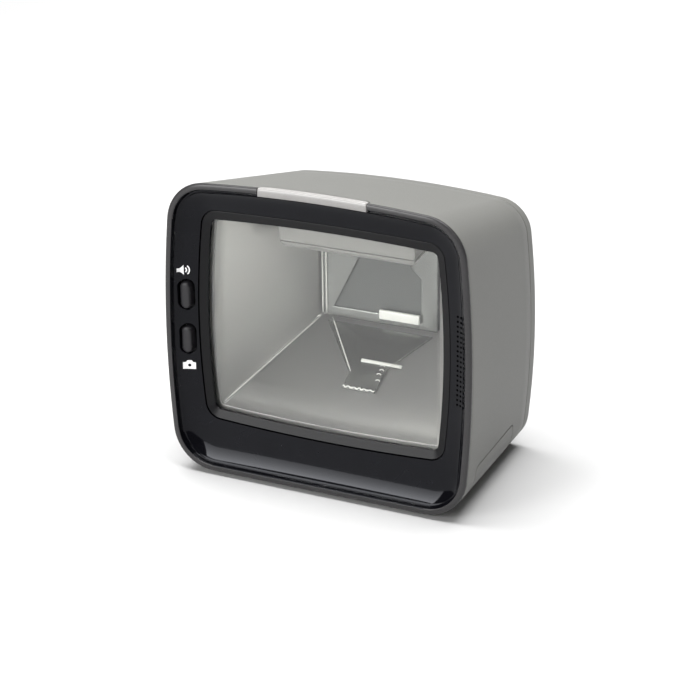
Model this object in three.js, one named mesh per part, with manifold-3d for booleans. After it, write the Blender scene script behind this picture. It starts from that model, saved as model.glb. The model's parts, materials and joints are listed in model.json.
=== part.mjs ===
// An upright counter-top barcode imager: a tapering grey housing with a gloss front bezel, a deep
// reading window with its light funnel and camera behind it, two push buttons and a speaker grille.
//
// Millimetres, +Z up. The front faces -Y and +X is to the right of someone who faces it. The origin is
// the middle of the bounding box on the counter. Pieces are modelled in the body frame, whose y is 0 at
// the front edge of the housing and grows to the rear, and whose z is 0 at the underside of the housing.

import * as THREE from 'three';
import { mergeVertices } from 'three/addons/utils/BufferGeometryUtils.js';
import Module from 'manifold-3d';

const wasm = await Module();
wasm.setup();

// ---------------------------------------------------------------- driving dimensions

const overallDepth = 94;
const footDrop = 1.8; // how far the feet stand out under the housing
const wall = 2.2;
const gap = 0.3; // between pieces that touch
const lipReach = 0.7; // how far the front lip stands forward of the widest outline

const frontWidth = 152;
const frontHeight = 140.6;
const sideTaper = 7.95; // how far each side comes in from the front to the rear
const topTaper = 18;
const rearWidth = frontWidth - 2 * sideTaper;
const rearHeight = frontHeight - topTaper;
const rearCrown = 3; // depth of the rounded edge at the rear
const rearFace = overallDepth - lipReach;
const taperLength = rearFace - rearCrown; // from the front outline to the rear one
const flare = 0.00012; // how much wider each outline is for every millimetre nearer its foot

// Bezel around the window panel, and the border of the window in that panel
const sideBand = 13.1;
const topBand = 15.3;
const chinHeight = 21.5;
const sideBorder = 4.35;
const topBorder = 4.6;
const footBorder = 4.6;
const mountClearance = 1; // between the housing's inside and what is mounted next to it

// Each outline has bowed sides, a crowned top, a nearly flat foot and rounded corners.
const frontOutline = {
  width: frontWidth, height: frontHeight, base: 0, sideBow: 4.7, topBow: 4.0, baseBow: 0.2, corner: 20.3,
};
const rearOutline = {
  width: rearWidth, height: rearHeight, base: 0.2, sideBow: 4.7, topBow: 3.9, baseBow: 0.2, corner: 16.5,
};
const panelOutline = {
  width: frontWidth - 2 * sideBand, height: frontHeight - topBand - chinHeight, base: chinHeight,
  sideBow: 3.7, topBow: 1.5, baseBow: 2.2, corner: 8,
};
const apertureOutline = {
  width: panelOutline.width - 2 * sideBorder, height: panelOutline.height - topBorder - footBorder,
  base: chinHeight + footBorder, sideBow: 2.9, topBow: 1.8, baseBow: 1.7, corner: 3,
};
const panelTop = panelOutline.base + panelOutline.height;
const apertureTop = apertureOutline.base + apertureOutline.height;

// Half the housing's inner width at a depth, and the height of its inner top.
function insideAt(y) {
  const share = y / taperLength;
  return { half: frontWidth / 2 - sideTaper * share - wall, top: frontHeight - topTaper * share - wall };
}

const arcSteps = { base: 4, corner: 5, side: 6, top: 6 };

// Front lip, bezel and window
const lipCrest = 2.6; // inset of the foremost line of the lip
const lipInner = 3.15; // inset of the groove between the lip and the dish
const grooveDepth = 1.9;
const rimDepth = 1; // how far back the bezel's rim covers the body's edge
const edgeWidth = 1.6; // thickness of the housing's front edge, behind the rim
const skirtInset = edgeWidth + gap; // the bezel's skirt fits inside that edge
const dishInset = 4.2; // where the dished face of the bezel starts
const dishStart = 2.45;
const dishEnd = 7;
const dishFillet = 0.35; // part of the dish's depth that its outer fillet takes
const dishPower = 6; // how tight that fillet is
const bezelThickness = 1.8;
const frameFront = dishEnd + 0.4;
const apertureFront = frameFront + 1.3;
const frameBack = apertureFront + 1.5;
const glassFront = frameBack + gap;
const glassThickness = 2;
const glassMargin = 2.5; // how far the pane runs under its frame
const gasketWidth = 1.5;
const flangeFront = glassFront + glassThickness + gap;
const flangeThickness = 2;

// Seams of the housing
const rearSeam = taperLength - 6.3;
const baseStart = 13;
const baseEnd = rearSeam - 18;
const baseFlange = 21; // height of the base cover's side flanges

// Status light at the top edge
const lightHalf = 26.4;
const lightDepth = 5.5;
const lightThickness = 4;
const lightTurn = 4; // corner of the light's rear edge
const lightRoom = 12; // height of the room that is cleared for it
const boardThickness = 1.6;
const lightBoard = { half: lightHalf - 2.4, front: dishEnd + 4, height: 6.5 };
const lightBoardRear = lightBoard.front + boardThickness;
const lightBoardTop = insideAt(lightBoardRear).top - mountClearance;

// Buttons and their switches
const buttonInset = 8.4; // from the widest outline to the middle of the buttons
const buttonX = buttonInset - frontWidth / 2;
const volumeZ = 82.8;
const imageZ = 61.3;
const buttonWidth = 5.2;
const buttonHeight = 12.8;
const buttonClearance = 0.8;
const buttonFront = 3.2; // the crown of each cap
const flangeLip = 1.2; // how far a cap's flange reaches behind the bezel, above and below
const buttonFlangeFront = dishEnd + bezelThickness + 0.5;
const buttonFlangeThickness = 1.4;
const buttonTravel = 0.8;
const plungerRadius = 1.7;
const plungerFront = buttonFlangeFront + buttonFlangeThickness + gap;
const plungerReach = 1.2; // how far a plunger stands in its switch
const switchFront = plungerFront + buttonTravel + 0.6;
const switchSize = 6;
const switchDepth = 3.3;
const buttonBoardFront = switchFront + switchDepth + gap;
const buttonBoardRear = buttonBoardFront + boardThickness;

// Speaker
const grilleInset = 7.35; // from the widest outline to the middle of the grille
const grilleX = frontWidth / 2 - grilleInset;
const grilleZ = 73;
const grillePitchX = 1.85;
const grillePitchZ = 2.26;
const grilleColumns = 3;
const grilleRows = 19;
const grilleHole = 1.15; // diameter
const speakerWidth = 8;
const speakerHeight = 40;
const speakerFront = dishEnd + bezelThickness + 3.7;
const speakerRim = 1.5; // thickness of the frame's rim
const speakerX = insideAt(speakerFront + speakerRim).half - mountClearance - speakerWidth / 2;

// Light funnel behind the window
const funnelBack = rearSeam - 15.3;
const funnelWall = 1.8;
const funnelLip = 1; // ledge of the funnel that shows inside the window frame
const funnelStraight = 1.4; // straight mouth before the walls start to close in
const chamberOutline = {
  width: 60, height: 57, base: 59, sideBow: 0.05, topBow: 0.05, baseBow: 0.05, corner: 1.5,
};
const plateThickness = 1;
const plateLift = 0.45; // clearance of the plates over the funnel's ruled walls

// Camera behind the chamber
const lensX = 14.3;
const lensZ = 73.3;
const carrierFront = funnelBack + gap;
const carrierThickness = 2;
const barrelRadius = 5;
const barrelBore = 3.6;
const cameraBoardFront = carrierFront + 12;

// Main board and sockets
const boardBottom = 10;
const boardFront = 17;
const socketRear = rearFace - 0.5;
const boardRear = socketRear - 10.8;

// Fasteners
const screwRadius = 1.5;
const headRadius = 2.8;
const headHeight = 1.8;
const postRadius = 3.5;

// ---------------------------------------------------------------- outlines and skins

function mix(a, b, t) {
  return a + (b - a) * t;
}

function mixOutline(a, b, t) {
  return Object.fromEntries(Object.keys(a).map((key) => [key, mix(a[key], b[key], t)]));
}

// Where two circles cross, on the side that direction points to.
function crossing(a, radiusA, b, radiusB, direction) {
  const line = b.clone().sub(a);
  const distance = line.length();
  line.divideScalar(distance);
  const along = (radiusA ** 2 - radiusB ** 2 + distance ** 2) / (2 * distance);
  const across = Math.sqrt(Math.max(radiusA ** 2 - along ** 2, 0));
  const foot = a.clone().addScaledVector(line, along);
  const side = new THREE.Vector2(-line.y, line.x).multiplyScalar(across);
  return side.dot(direction) > 0 ? foot.add(side) : foot.sub(side);
}

function arc(centre, radius, from, to, steps) {
  return Array.from({ length: steps + 1 }, (_, i) => {
    const angle = mix(from, to, i / steps);
    return new THREE.Vector2(centre.x + radius * Math.cos(angle), centre.y + radius * Math.sin(angle));
  });
}

function angleFrom(centre, point) {
  return Math.atan2(point.y - centre.y, point.x - centre.x);
}

// The outline's points in x and z, anticlockwise as seen from the front, moved inwards by inset.
function outlinePoints(shape, inset = 0) {
  const half = shape.width / 2;
  const sideRadius = shape.height ** 2 / (8 * shape.sideBow) + shape.sideBow / 2;
  const topRadius = shape.width ** 2 / (8 * shape.topBow) + shape.topBow / 2;
  const baseRadius = shape.width ** 2 / (8 * shape.baseBow) + shape.baseBow / 2;
  const side = new THREE.Vector2(half - sideRadius, shape.base + shape.height / 2);
  const top = new THREE.Vector2(0, shape.base + shape.height - topRadius);
  const base = new THREE.Vector2(0, shape.base + baseRadius);
  const corner = Math.max(shape.corner - inset, gap);
  const inner = sideRadius - inset - corner;
  const upper = crossing(side, inner, top, topRadius - inset - corner, new THREE.Vector2(1, 1));
  const lower = crossing(side, inner, base, baseRadius - inset - corner, new THREE.Vector2(1, -1));
  const baseAngle = angleFrom(base, lower);
  const lowAngle = angleFrom(side, lower);
  const highAngle = angleFrom(side, upper);
  const topAngle = angleFrom(top, upper);
  const right = [
    ...arc(base, baseRadius - inset, -Math.PI / 2, baseAngle, arcSteps.base / 2),
    ...arc(lower, corner, baseAngle, lowAngle, arcSteps.corner).slice(1),
    ...arc(side, sideRadius - inset, lowAngle, highAngle, arcSteps.side).slice(1),
    ...arc(upper, corner, highAngle, topAngle, arcSteps.corner).slice(1),
    ...arc(top, topRadius - inset, topAngle, Math.PI / 2, arcSteps.top / 2).slice(1),
  ];
  right.forEach((p) => {
    p.x *= 1 + flare * (frontHeight / 2 - p.y);
  });
  const left = right.slice(1, -1).reverse().map((p) => new THREE.Vector2(-p.x, p.y));
  return [...right, ...left];
}

function ring(shape, y, inset = 0) {
  return outlinePoints(shape, inset).map((p) => new THREE.Vector3(p.x, y, p.y));
}

function mixRings(a, b, t, y) {
  return a.map((point, i) => point.clone().lerp(b[i], t).setY(y));
}

function signedVolume(positions, index) {
  const [a, b, c] = [new THREE.Vector3(), new THREE.Vector3(), new THREE.Vector3()];
  let volume = 0;
  for (let i = 0; i < index.length; i += 3) {
    a.fromArray(positions, index[i] * 3);
    b.fromArray(positions, index[i + 1] * 3);
    c.fromArray(positions, index[i + 2] * 3);
    volume += a.dot(b.cross(c));
  }
  return volume;
}

// A closed skin over rings of equal length. closed joins the last ring to the first, as a frame does;
// otherwise each end gets a cap.
function skin(rings, closed = false) {
  const count = rings[0].length;
  const positions = rings.flat().flatMap((p) => [p.x, p.y, p.z]);
  const index = [];
  const bands = closed ? rings.length : rings.length - 1;
  for (let band = 0; band < bands; band += 1) {
    const here = band * count;
    const next = ((band + 1) % rings.length) * count;
    for (let i = 0; i < count; i += 1) {
      const j = (i + 1) % count;
      index.push(here + i, next + i, next + j, here + i, next + j, here + j);
    }
  }
  if (!closed) {
    [0, rings.length - 1].forEach((end) => {
      const middle = rings[end].reduce((sum, p) => sum.add(p), new THREE.Vector3()).divideScalar(count);
      const hub = positions.length / 3;
      positions.push(middle.x, middle.y, middle.z);
      for (let i = 0; i < count; i += 1) {
        const a = end * count + i;
        const b = end * count + ((i + 1) % count);
        index.push(hub, ...(end === 0 ? [a, b] : [b, a]));
      }
    });
  }
  if (signedVolume(positions, index) < 0) index.reverse();
  const geometry = new THREE.BufferGeometry();
  geometry.setAttribute('position', new THREE.Float32BufferAttribute(positions, 3));
  geometry.setIndex(index);
  return geometry;
}

// The housing's own surface at any depth, moved inwards by inset.
function bodyRing(y, inset = 0) {
  return ring(mixOutline(frontOutline, rearOutline, y / taperLength), y, inset);
}

function bodyBlock(from, to, inset = 0) {
  return skin([bodyRing(from, inset), bodyRing(to, inset)]);
}

// ---------------------------------------------------------------- solids

function toSolid(geometry) {
  const bare = geometry.clone();
  bare.deleteAttribute('normal');
  bare.deleteAttribute('uv');
  const merged = mergeVertices(bare, 1e-4);
  return new wasm.Manifold(new wasm.Mesh({
    numProp: 3,
    vertProperties: merged.attributes.position.array,
    triVerts: Uint32Array.from(merged.index.array),
  }));
}

function toGeometry(solid) {
  const mesh = solid.getMesh();
  const geometry = new THREE.BufferGeometry();
  geometry.setAttribute('position', new THREE.Float32BufferAttribute(mesh.vertProperties, 3));
  geometry.setIndex(Array.from(mesh.triVerts));
  return geometry;
}

function join(...pieces) {
  return toGeometry(pieces.map(toSolid).reduce((sum, piece) => sum.add(piece)));
}

function cut(piece, ...tools) {
  return toGeometry(tools.map(toSolid).reduce((rest, tool) => rest.subtract(tool), toSolid(piece)));
}

function common(a, b) {
  return toGeometry(toSolid(a).intersect(toSolid(b)));
}

function block(x0, x1, y0, y1, z0, z1) {
  const box = new THREE.BoxGeometry(x1 - x0, y1 - y0, z1 - z0);
  return box.translate((x0 + x1) / 2, (y0 + y1) / 2, (z0 + z1) / 2);
}

// A cylinder along y.
function rod(x, z, radius, y0, y1, sides = 12) {
  return new THREE.CylinderGeometry(radius, radius, y1 - y0, sides).translate(x, (y0 + y1) / 2, z);
}

// A cylinder along z.
function post(x, y, radius, z0, z1, sides = 12) {
  const cylinder = new THREE.CylinderGeometry(radius, radius, z1 - z0, sides).rotateX(Math.PI / 2);
  return cylinder.translate(x, y, (z0 + z1) / 2);
}

// A flat shape drawn in x and z, as deep as y0 to y1.
function extrude(shape, y0, y1) {
  const settings = { depth: y1 - y0, bevelEnabled: false, curveSegments: 4 };
  return new THREE.ExtrudeGeometry(shape, settings).rotateX(Math.PI / 2).translate(0, y1, 0);
}

function pillShape(x, z, width, height) {
  const radius = Math.min(width, height) / 2;
  const reachX = width / 2 - radius;
  const reachZ = height / 2 - radius;
  const shape = new THREE.Shape();
  shape.absarc(x + reachX, z + reachZ, radius, 0, Math.PI / 2);
  shape.absarc(x - reachX, z + reachZ, radius, Math.PI / 2, Math.PI);
  shape.absarc(x - reachX, z - reachZ, radius, Math.PI, Math.PI * 1.5);
  shape.absarc(x + reachX, z - reachZ, radius, Math.PI * 1.5, Math.PI * 2);
  return shape;
}

function pill(x, z, width, height, y0, y1) {
  return extrude(pillShape(x, z, width, height), y0, y1);
}

function polygon(points, y0, y1) {
  return extrude(new THREE.Shape(points.map(([x, z]) => new THREE.Vector2(x, z))), y0, y1);
}

// A profile of radii and heights, turned about the z axis.
function turned(profile, sides) {
  const points = profile.map(([r, h]) => new THREE.Vector2(r, h));
  return new THREE.LatheGeometry(points, sides).rotateX(Math.PI / 2);
}

// A pan-head screw along one axis, with a cross recess. It starts at the outside of its head.
function screw(origin, axis, length) {
  const profile = [
    [0, 0], [headRadius * 0.75, 0], [headRadius, headHeight * 0.45], [headRadius, headHeight],
    [screwRadius, headHeight], [screwRadius, length], [0, length],
  ].map(([r, h]) => new THREE.Vector2(r, h));
  const body = new THREE.LatheGeometry(profile, 10);
  const slot = headHeight * 0.5;
  const recess = [0, Math.PI / 2].map((angle) => {
    return new THREE.BoxGeometry(headRadius * 1.1, slot * 2, headRadius * 0.28).rotateY(angle);
  });
  const turn = new THREE.Quaternion().setFromUnitVectors(new THREE.Vector3(0, 1, 0), axis);
  return cut(body, ...recess).applyQuaternion(turn).translate(origin.x, origin.y, origin.z);
}

// ---------------------------------------------------------------- materials and the scene graph

function finish(color, roughness, metalness = 0) {
  return new THREE.MeshStandardMaterial({ color, roughness, metalness });
}

const finishes = {
  housingGrey: finish(0x8f8f8b, 0.5),
  pianoBlack: finish(0x141416, 0.08),
  satinBlack: finish(0x1d1e20, 0.45),
  buttonGrey: finish(0x38373b, 0.5),
  rubber: finish(0x1a1a1a, 0.9),
  clear: finish(0xdfe5e3, 0.03),
  frosted: finish(0xdcdad6, 0.35),
  reflector: finish(0xa9aaa6, 0.3, 0.6),
  mirror: finish(0xb9bab6, 0.08, 0.9),
  smoked: finish(0x6a6c69, 0.1),
  board: finish(0x1f5a3a, 0.5),
  innerBlack: finish(0x222222, 0.6),
  cone: finish(0x2b2b2b, 0.8),
  steel: finish(0x9a9a9a, 0.35, 1),
  brass: finish(0xb08d4a, 0.35, 1),
  flex: finish(0xa5642a, 0.5),
  silicon: finish(0x30343c, 0.2),
};

const scanner = new THREE.Group();
const bodyFrame = new THREE.Group();
bodyFrame.position.set(0, lipReach - overallDepth / 2, footDrop);
scanner.add(bodyFrame);

function place(name, geometry, material, parent = bodyFrame) {
  const mesh = new THREE.Mesh(geometry, material);
  mesh.name = name;
  parent.add(mesh);
  return mesh;
}

// ---------------------------------------------------------------- housing

const footRadius = 4.5;
const footY = [7.9, rearSeam - 8];
const footX = Math.min(...footY.map((y) => {
  const { width, corner } = mixOutline(frontOutline, rearOutline, y / taperLength);
  return width / 2 - corner;
})) - 0.5;

const earReach = 3; // how far the funnel's ears run past the posts that carry them
const bossZ = [chinHeight + 8.5, panelTop - 9.3];
const bossBow = frontOutline.sideBow * (2 * (bossZ[1] + earReach) / frontHeight - 1) ** 2;
const bossX = insideAt(flangeFront + flangeThickness).half - bossBow - mountClearance - earReach;
const bossRear = flangeFront + flangeThickness + 15.2;
const rearPostX = rearWidth / 2 - 8.05;
const rearPostZ = [26, rearHeight - 22.6];
const basePostX = footX - 1.7;
const basePostY = [baseStart + 9, baseEnd - 8];
const rearHeadDepth = headHeight + gap;
const tongueLength = 4.5; // how far the rear cover reaches into the housing
const tongueWall = 1.2;

// A box through the whole body from y0 to y1, up to z1, for the base cover and its opening.
function baseRegion(margin) {
  const depths = [baseStart + margin, baseEnd - margin];
  return block(-frontWidth, frontWidth, ...depths, -footDrop, baseFlange - margin);
}

// The room of the status light, with rounded corners where it runs back over the top.
function lightRegion(margin) {
  const half = lightHalf + margin;
  const depth = lightDepth + margin;
  const front = -lipReach - 1;
  const shape = new THREE.Shape();
  shape.moveTo(-half, front);
  shape.lineTo(half, front);
  shape.lineTo(half, depth - lightTurn);
  shape.quadraticCurveTo(half - gap, depth, half - lightTurn, depth);
  shape.lineTo(lightTurn - half, depth);
  shape.quadraticCurveTo(gap - half, depth, -half, depth - lightTurn);
  shape.closePath();
  const settings = { depth: lightRoom, bevelEnabled: false, curveSegments: 4 };
  return new THREE.ExtrudeGeometry(shape, settings).translate(0, 0, frontHeight + 1 - lightRoom);
}

// The notch that the status light sits in.
function lightNotch() {
  return cut(lightRegion(gap), bodyBlock(-lipReach - 2, lightDepth + 2, lightThickness + gap));
}

// A vertical or horizontal post that is held by a web to the side wall.
function web(x, y0, y1, z0, z1) {
  const outer = Math.sign(x) * frontWidth / 2;
  return block(Math.min(x, outer), Math.max(x, outer), y0, y1, z0, z1);
}

// The rounded lip from its crest out to the body's side.
function lipRings() {
  return [
    bodyRing(-lipReach, lipCrest), bodyRing(-lipReach * 0.93, lipCrest * 0.72),
    bodyRing(-lipReach * 0.55, lipCrest * 0.27), bodyRing(0.2, 0.02), bodyRing(rimDepth),
  ];
}

function makeHousing() {
  const outer = bodyBlock(rimDepth + gap, rearSeam);
  const cavity = skin([
    bodyRing(rimDepth, edgeWidth), bodyRing(dishEnd + 1.5, edgeWidth), bodyRing(dishEnd + 2.1, wall),
    bodyRing(rearSeam + 1, wall),
  ]);
  const shell = cut(outer, cavity);
  const posts = [];
  [-1, 1].forEach((side) => {
    bossZ.forEach((z) => {
      const front = flangeFront + flangeThickness + gap;
      posts.push(rod(side * bossX, z, postRadius, front, bossRear));
      posts.push(web(side * bossX, front, bossRear, z - 1, z + 1));
    });
    rearPostZ.forEach((z) => {
      const front = rearSeam - 16;
      posts.push(rod(side * rearPostX, z, postRadius, front, rearSeam - gap));
      posts.push(web(side * rearPostX, front, rearSeam - gap, z - 1, z + 1));
    });
    basePostY.forEach((y) => {
      posts.push(post(side * basePostX, y, postRadius, 9, baseFlange + 6));
      posts.push(web(side * basePostX, y - 1.5, y + 1.5, baseFlange + gap, baseFlange + 6));
    });
  });
  const inside = skin([bodyRing(5, wall / 2), bodyRing(rearSeam, wall / 2)]);
  const held = common(join(...posts), inside);
  const pilots = [];
  [-1, 1].forEach((side) => {
    rearPostZ.forEach((z) => {
      pilots.push(rod(side * rearPostX, z, screwRadius + gap, rearSeam - 12, rearSeam + 1));
    });
    basePostY.forEach((y) => {
      pilots.push(post(side * basePostX, y, screwRadius + gap, 8, 20));
    });
  });
  const footSeats = [-1, 1].flatMap((side) => footY.map((y) => {
    return post(side * footX, y, footRadius + gap, -footDrop, 0.7, 20);
  }));
  return cut(join(cut(shell, baseRegion(0)), held), lightNotch(), ...pilots, ...footSeats);
}

function makeFoot() {
  const seat = 0.4; // how far the foot stands in its recess
  const edge = 0.6;
  return turned([
    [0, -footDrop], [footRadius - edge, -footDrop], [footRadius, edge - footDrop],
    [footRadius, seat], [0, seat],
  ], 20);
}

place('main_housing', makeHousing(), finishes.housingGrey);
footY.forEach((y, row) => [-1, 1].forEach((side) => {
  const name = `${row ? 'rear' : 'front'}_${side < 0 ? 'left' : 'right'}_foot`;
  place(name, makeFoot(), finishes.rubber).position.set(side * footX, y, 0);
}));

// ---------------------------------------------------------------- rear cover and sockets

const sockets = {
  host: { x: -22, width: 15.6, height: 13.4, depth: 18.3, openWidth: 11.8, openHeight: 7, openDepth: 11 },
  usb: { x: 4, width: 13.2, height: 6.2, depth: 14.8, openWidth: 11.8, openHeight: 4.6, openDepth: 9 },
  power: { x: 27, width: 9.6, height: 11, depth: 14.3, bore: 3.3, openDepth: 9.5 },
};
const socketBase = boardBottom + boardThickness + gap;

function socketBlock(socket, margin, rear) {
  const { x, width, height, depth } = socket;
  const base = socketBase - margin;
  const sides = [x - width / 2 - margin, x + width / 2 + margin];
  return block(...sides, socketRear - depth, rear, base, socketBase + height + margin);
}

function makeRearCover() {
  const start = rearSeam + gap;
  const outer = skin([
    bodyRing(start - tongueLength, wall + gap), bodyRing(start, wall + gap),
    bodyRing(start), bodyRing(taperLength),
    bodyRing(taperLength + rearCrown * 0.47, rearCrown * 0.23), bodyRing(rearFace - 0.5, rearCrown * 0.7),
    bodyRing(rearFace, rearCrown * 1.4),
  ]);
  const hollow = bodyBlock(start - tongueLength - 1, rearFace - wall, wall + gap + tongueWall);
  const posts = [-1, 1].flatMap((side) => rearPostZ.map((z) => {
    return rod(side * rearPostX, z, postRadius, rearSeam + gap, rearFace - 1);
  }));
  const holes = [-1, 1].flatMap((side) => rearPostZ.flatMap((z) => [
    rod(side * rearPostX, z, screwRadius + gap, rearSeam - 1, rearFace + 1),
    rod(side * rearPostX, z, headRadius + gap, rearFace - rearHeadDepth, rearFace + 1, 16),
    block(side * rearPostX - 6, side * rearPostX + 6, rearSeam - 6, rearSeam + gap, z - 6, z + 6),
  ]));
  const ports = Object.values(sockets).map((socket) => socketBlock(socket, gap, rearFace + 1));
  return cut(join(cut(outer, hollow), ...posts), ...holes, ...ports);
}

function makeHostPort() {
  const { x, height, openWidth, openHeight, openDepth } = sockets.host;
  const middle = socketBase + height / 2;
  const mouth = block(
    x - openWidth / 2, x + openWidth / 2, socketRear - openDepth, socketRear + 1,
    middle - openHeight / 2, middle + openHeight / 2,
  );
  const latch = block(
    x - 3.2, x + 3.2, socketRear - openDepth, socketRear + 1, middle, middle + openHeight / 2 + 1.8,
  );
  return cut(socketBlock(sockets.host, 0, socketRear), mouth, latch);
}

function makeUsbPort() {
  const { x, height, openWidth, openHeight, openDepth } = sockets.usb;
  const middle = socketBase + height / 2;
  const mouth = block(
    x - openWidth / 2, x + openWidth / 2, socketRear - openDepth, socketRear + 1,
    middle - openHeight / 2, middle + openHeight / 2,
  );
  const tongue = block(
    x - 5, x + 5, socketRear - openDepth - 1, socketRear - 1.2, middle + 0.2, middle + 1.9,
  );
  return join(cut(socketBlock(sockets.usb, 0, socketRear), mouth), tongue);
}

function makePowerJack() {
  const { x, height, bore, openDepth } = sockets.power;
  const middle = socketBase + height / 2;
  const mouth = rod(x, middle, bore, socketRear - openDepth, socketRear + 1, 20);
  const pin = rod(x, middle, 1, socketRear - openDepth - 1, socketRear - 4.6);
  return join(cut(socketBlock(sockets.power, 0, socketRear), mouth), pin);
}

place('rear_cover', makeRearCover(), finishes.housingGrey);
place('host_port', makeHostPort(), finishes.innerBlack);
place('usb_port', makeUsbPort(), finishes.steel);
place('power_jack', makePowerJack(), finishes.innerBlack);
[-1, 1].forEach((side) => rearPostZ.forEach((z, row) => {
  const head = new THREE.Vector3(side * rearPostX, rearFace - gap / 3, z);
  const name = `rear_screw_${row ? 'upper' : 'lower'}_${side < 0 ? 'left' : 'right'}`;
  place(name, screw(head, new THREE.Vector3(0, -1, 0), 18), finishes.steel);
}));

// ---------------------------------------------------------------- base cover

const riserPad = {
  halfX: 22, halfY: 12, y: (baseStart + baseEnd) / 2, drop: 0.8,
  insertX: 15, insertRadius: 2.8, bore: 1.65,
};
const boardPostRadius = 3;
const boardHalf = basePostX - postRadius - 2.5;
const boardPosts = [boardFront + 5, baseEnd - 6].flatMap((y) => [[4 - boardHalf, y], [boardHalf - 4, y]]);

function makeBaseCover() {
  const skinned = cut(bodyBlock(baseStart - 2, baseEnd + 2), bodyBlock(baseStart - 4, baseEnd + 4, wall));
  const shell = common(skinned, baseRegion(gap));
  const { halfX, halfY, y, drop, insertX, insertRadius } = riserPad;
  const rooted = wall - 0.5; // posts start inside the floor
  const parts = [block(-halfX, halfX, y - halfY, y + halfY, -drop, rooted)];
  const holes = [];
  boardPosts.forEach(([px, py]) => {
    parts.push(post(px, py, boardPostRadius, rooted, boardBottom - gap));
    holes.push(post(px, py, screwRadius + gap, 3, boardBottom));
  });
  [-1, 1].forEach((side) => {
    parts.push(post(side * insertX, y, insertRadius + 2, rooted, 8));
    holes.push(post(side * insertX, y, insertRadius + gap / 2, -footDrop, 6.6));
    basePostY.forEach((py) => {
      parts.push(post(side * basePostX, py, postRadius + 0.5, rooted, 8.6));
      holes.push(post(side * basePostX, py, screwRadius + gap, -1, 9));
      holes.push(post(side * basePostX, py, headRadius + gap, -1, headHeight + 0.5));
    });
  });
  return cut(join(shell, ...parts), ...holes);
}

function makeInsert() {
  const { insertRadius, bore, drop } = riserPad;
  const foot = gap - drop;
  const top = 6.2;
  return turned([[bore, foot], [insertRadius, foot], [insertRadius, top], [bore, top], [bore, foot]], 16);
}

place('base_cover', makeBaseCover(), finishes.housingGrey);
[-1, 1].forEach((side) => {
  const hand = side < 0 ? 'left' : 'right';
  const insert = place(`riser_insert_${hand}`, makeInsert(), finishes.brass);
  insert.position.set(side * riserPad.insertX, riserPad.y, 0);
  basePostY.forEach((y, row) => {
    const head = new THREE.Vector3(side * basePostX, y, gap);
    const name = `base_screw_${row ? 'rear' : 'front'}_${hand}`;
    place(name, screw(head, new THREE.Vector3(0, 0, 1), 18), finishes.steel);
  });
});

// ---------------------------------------------------------------- front bezel and window

// A line across the bezel's dished face, from its outside (share 0) to the window panel (share 1).
function dishRing(share, lift = 0) {
  const sunk = mix(share, 1 - (1 - share) ** dishPower, dishFillet);
  const y = mix(dishStart, dishEnd, sunk) + lift;
  return mixRings(bodyRing(0, dishInset), ring(panelOutline, 0), share, y);
}

function grilleHoles() {
  const holes = [];
  for (let column = 0; column < grilleColumns; column += 1) {
    for (let row = 0; row < grilleRows; row += 1) {
      const x = grilleX + (column - (grilleColumns - 1) / 2) * grillePitchX;
      const z = grilleZ + (row - (grilleRows - 1) / 2) * grillePitchZ;
      holes.push(rod(x, z, grilleHole / 2, -2, 10, 6));
    }
  }
  return holes;
}

function makeBezel() {
  const skirt = [bodyRing(dishEnd, skirtInset), bodyRing(rimDepth, skirtInset)];
  const lip = [...lipRings().reverse(), bodyRing(-lipReach * 0.65, lipInner - 0.2)];
  const groove = [bodyRing(grooveDepth, lipInner), bodyRing(dishStart - 0.1, lipInner + 0.35)];
  const front = [0, 0.12, 0.35, 0.65, 1].map((share) => dishRing(share));
  const back = [1, 0.35, 0].map((share) => dishRing(share, bezelThickness));
  back.push(bodyRing(dishEnd, skirtInset + 1.4));
  const ringSolid = skin([...skirt, ...lip, ...groove, ...front, ...back], true);
  const buttonHoles = [volumeZ, imageZ].map((z) => {
    const width = buttonWidth + 2 * buttonClearance;
    return pill(buttonX, z, width, buttonHeight + 2 * buttonClearance, -2, dishEnd + 3);
  });
  return cut(ringSolid, lightNotch(), ...buttonHoles, ...grilleHoles());
}

function makeWindowFrame() {
  return skin([
    ring(panelOutline, frameFront, gap), ring(apertureOutline, apertureFront),
    ring(apertureOutline, frameBack), ring(panelOutline, frameBack, gap),
  ], true);
}

function makeGasket() {
  const inner = -glassMargin - gap;
  return skin([
    ring(apertureOutline, glassFront, inner), ring(apertureOutline, glassFront, inner - gasketWidth),
    ring(apertureOutline, glassFront + glassThickness, inner - gasketWidth),
    ring(apertureOutline, glassFront + glassThickness, inner),
  ], true);
}

function makeGlass() {
  const back = glassFront + glassThickness;
  return skin([glassFront, back].map((y) => ring(apertureOutline, y, -glassMargin)));
}

place('front_bezel', makeBezel(), finishes.pianoBlack);
place('window_frame', makeWindowFrame(), finishes.satinBlack);
place('window_gasket', makeGasket(), finishes.rubber);
place('window_glass', makeGlass(), finishes.clear);

// ---------------------------------------------------------------- status light

function makeStatusLight() {
  const outer = skin([...lipRings().slice(1), bodyRing(lightDepth + 2)]);
  const shell = cut(outer, bodyBlock(-lipReach - 1, lightDepth + 3, lightThickness));
  return common(shell, lightRegion(0));
}

place('status_light', makeStatusLight(), finishes.frosted);
place('status_light_board', block(
  -lightBoard.half, lightBoard.half, lightBoard.front, lightBoardRear,
  lightBoardTop - lightBoard.height, lightBoardTop,
), finishes.board);

// ---------------------------------------------------------------- buttons

function makeButton(z) {
  const cap = pill(buttonX, z, buttonWidth, buttonHeight, buttonFront + 0.5, buttonFlangeFront + 0.1);
  const crown = pill(buttonX, z, buttonWidth - 1, buttonHeight - 1, buttonFront, buttonFront + 1);
  const flange = pill(
    buttonX, z, buttonWidth + gap, buttonHeight + 2 * (buttonClearance + flangeLip),
    buttonFlangeFront, buttonFlangeFront + buttonFlangeThickness,
  );
  return join(cap, crown, flange);
}

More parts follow.
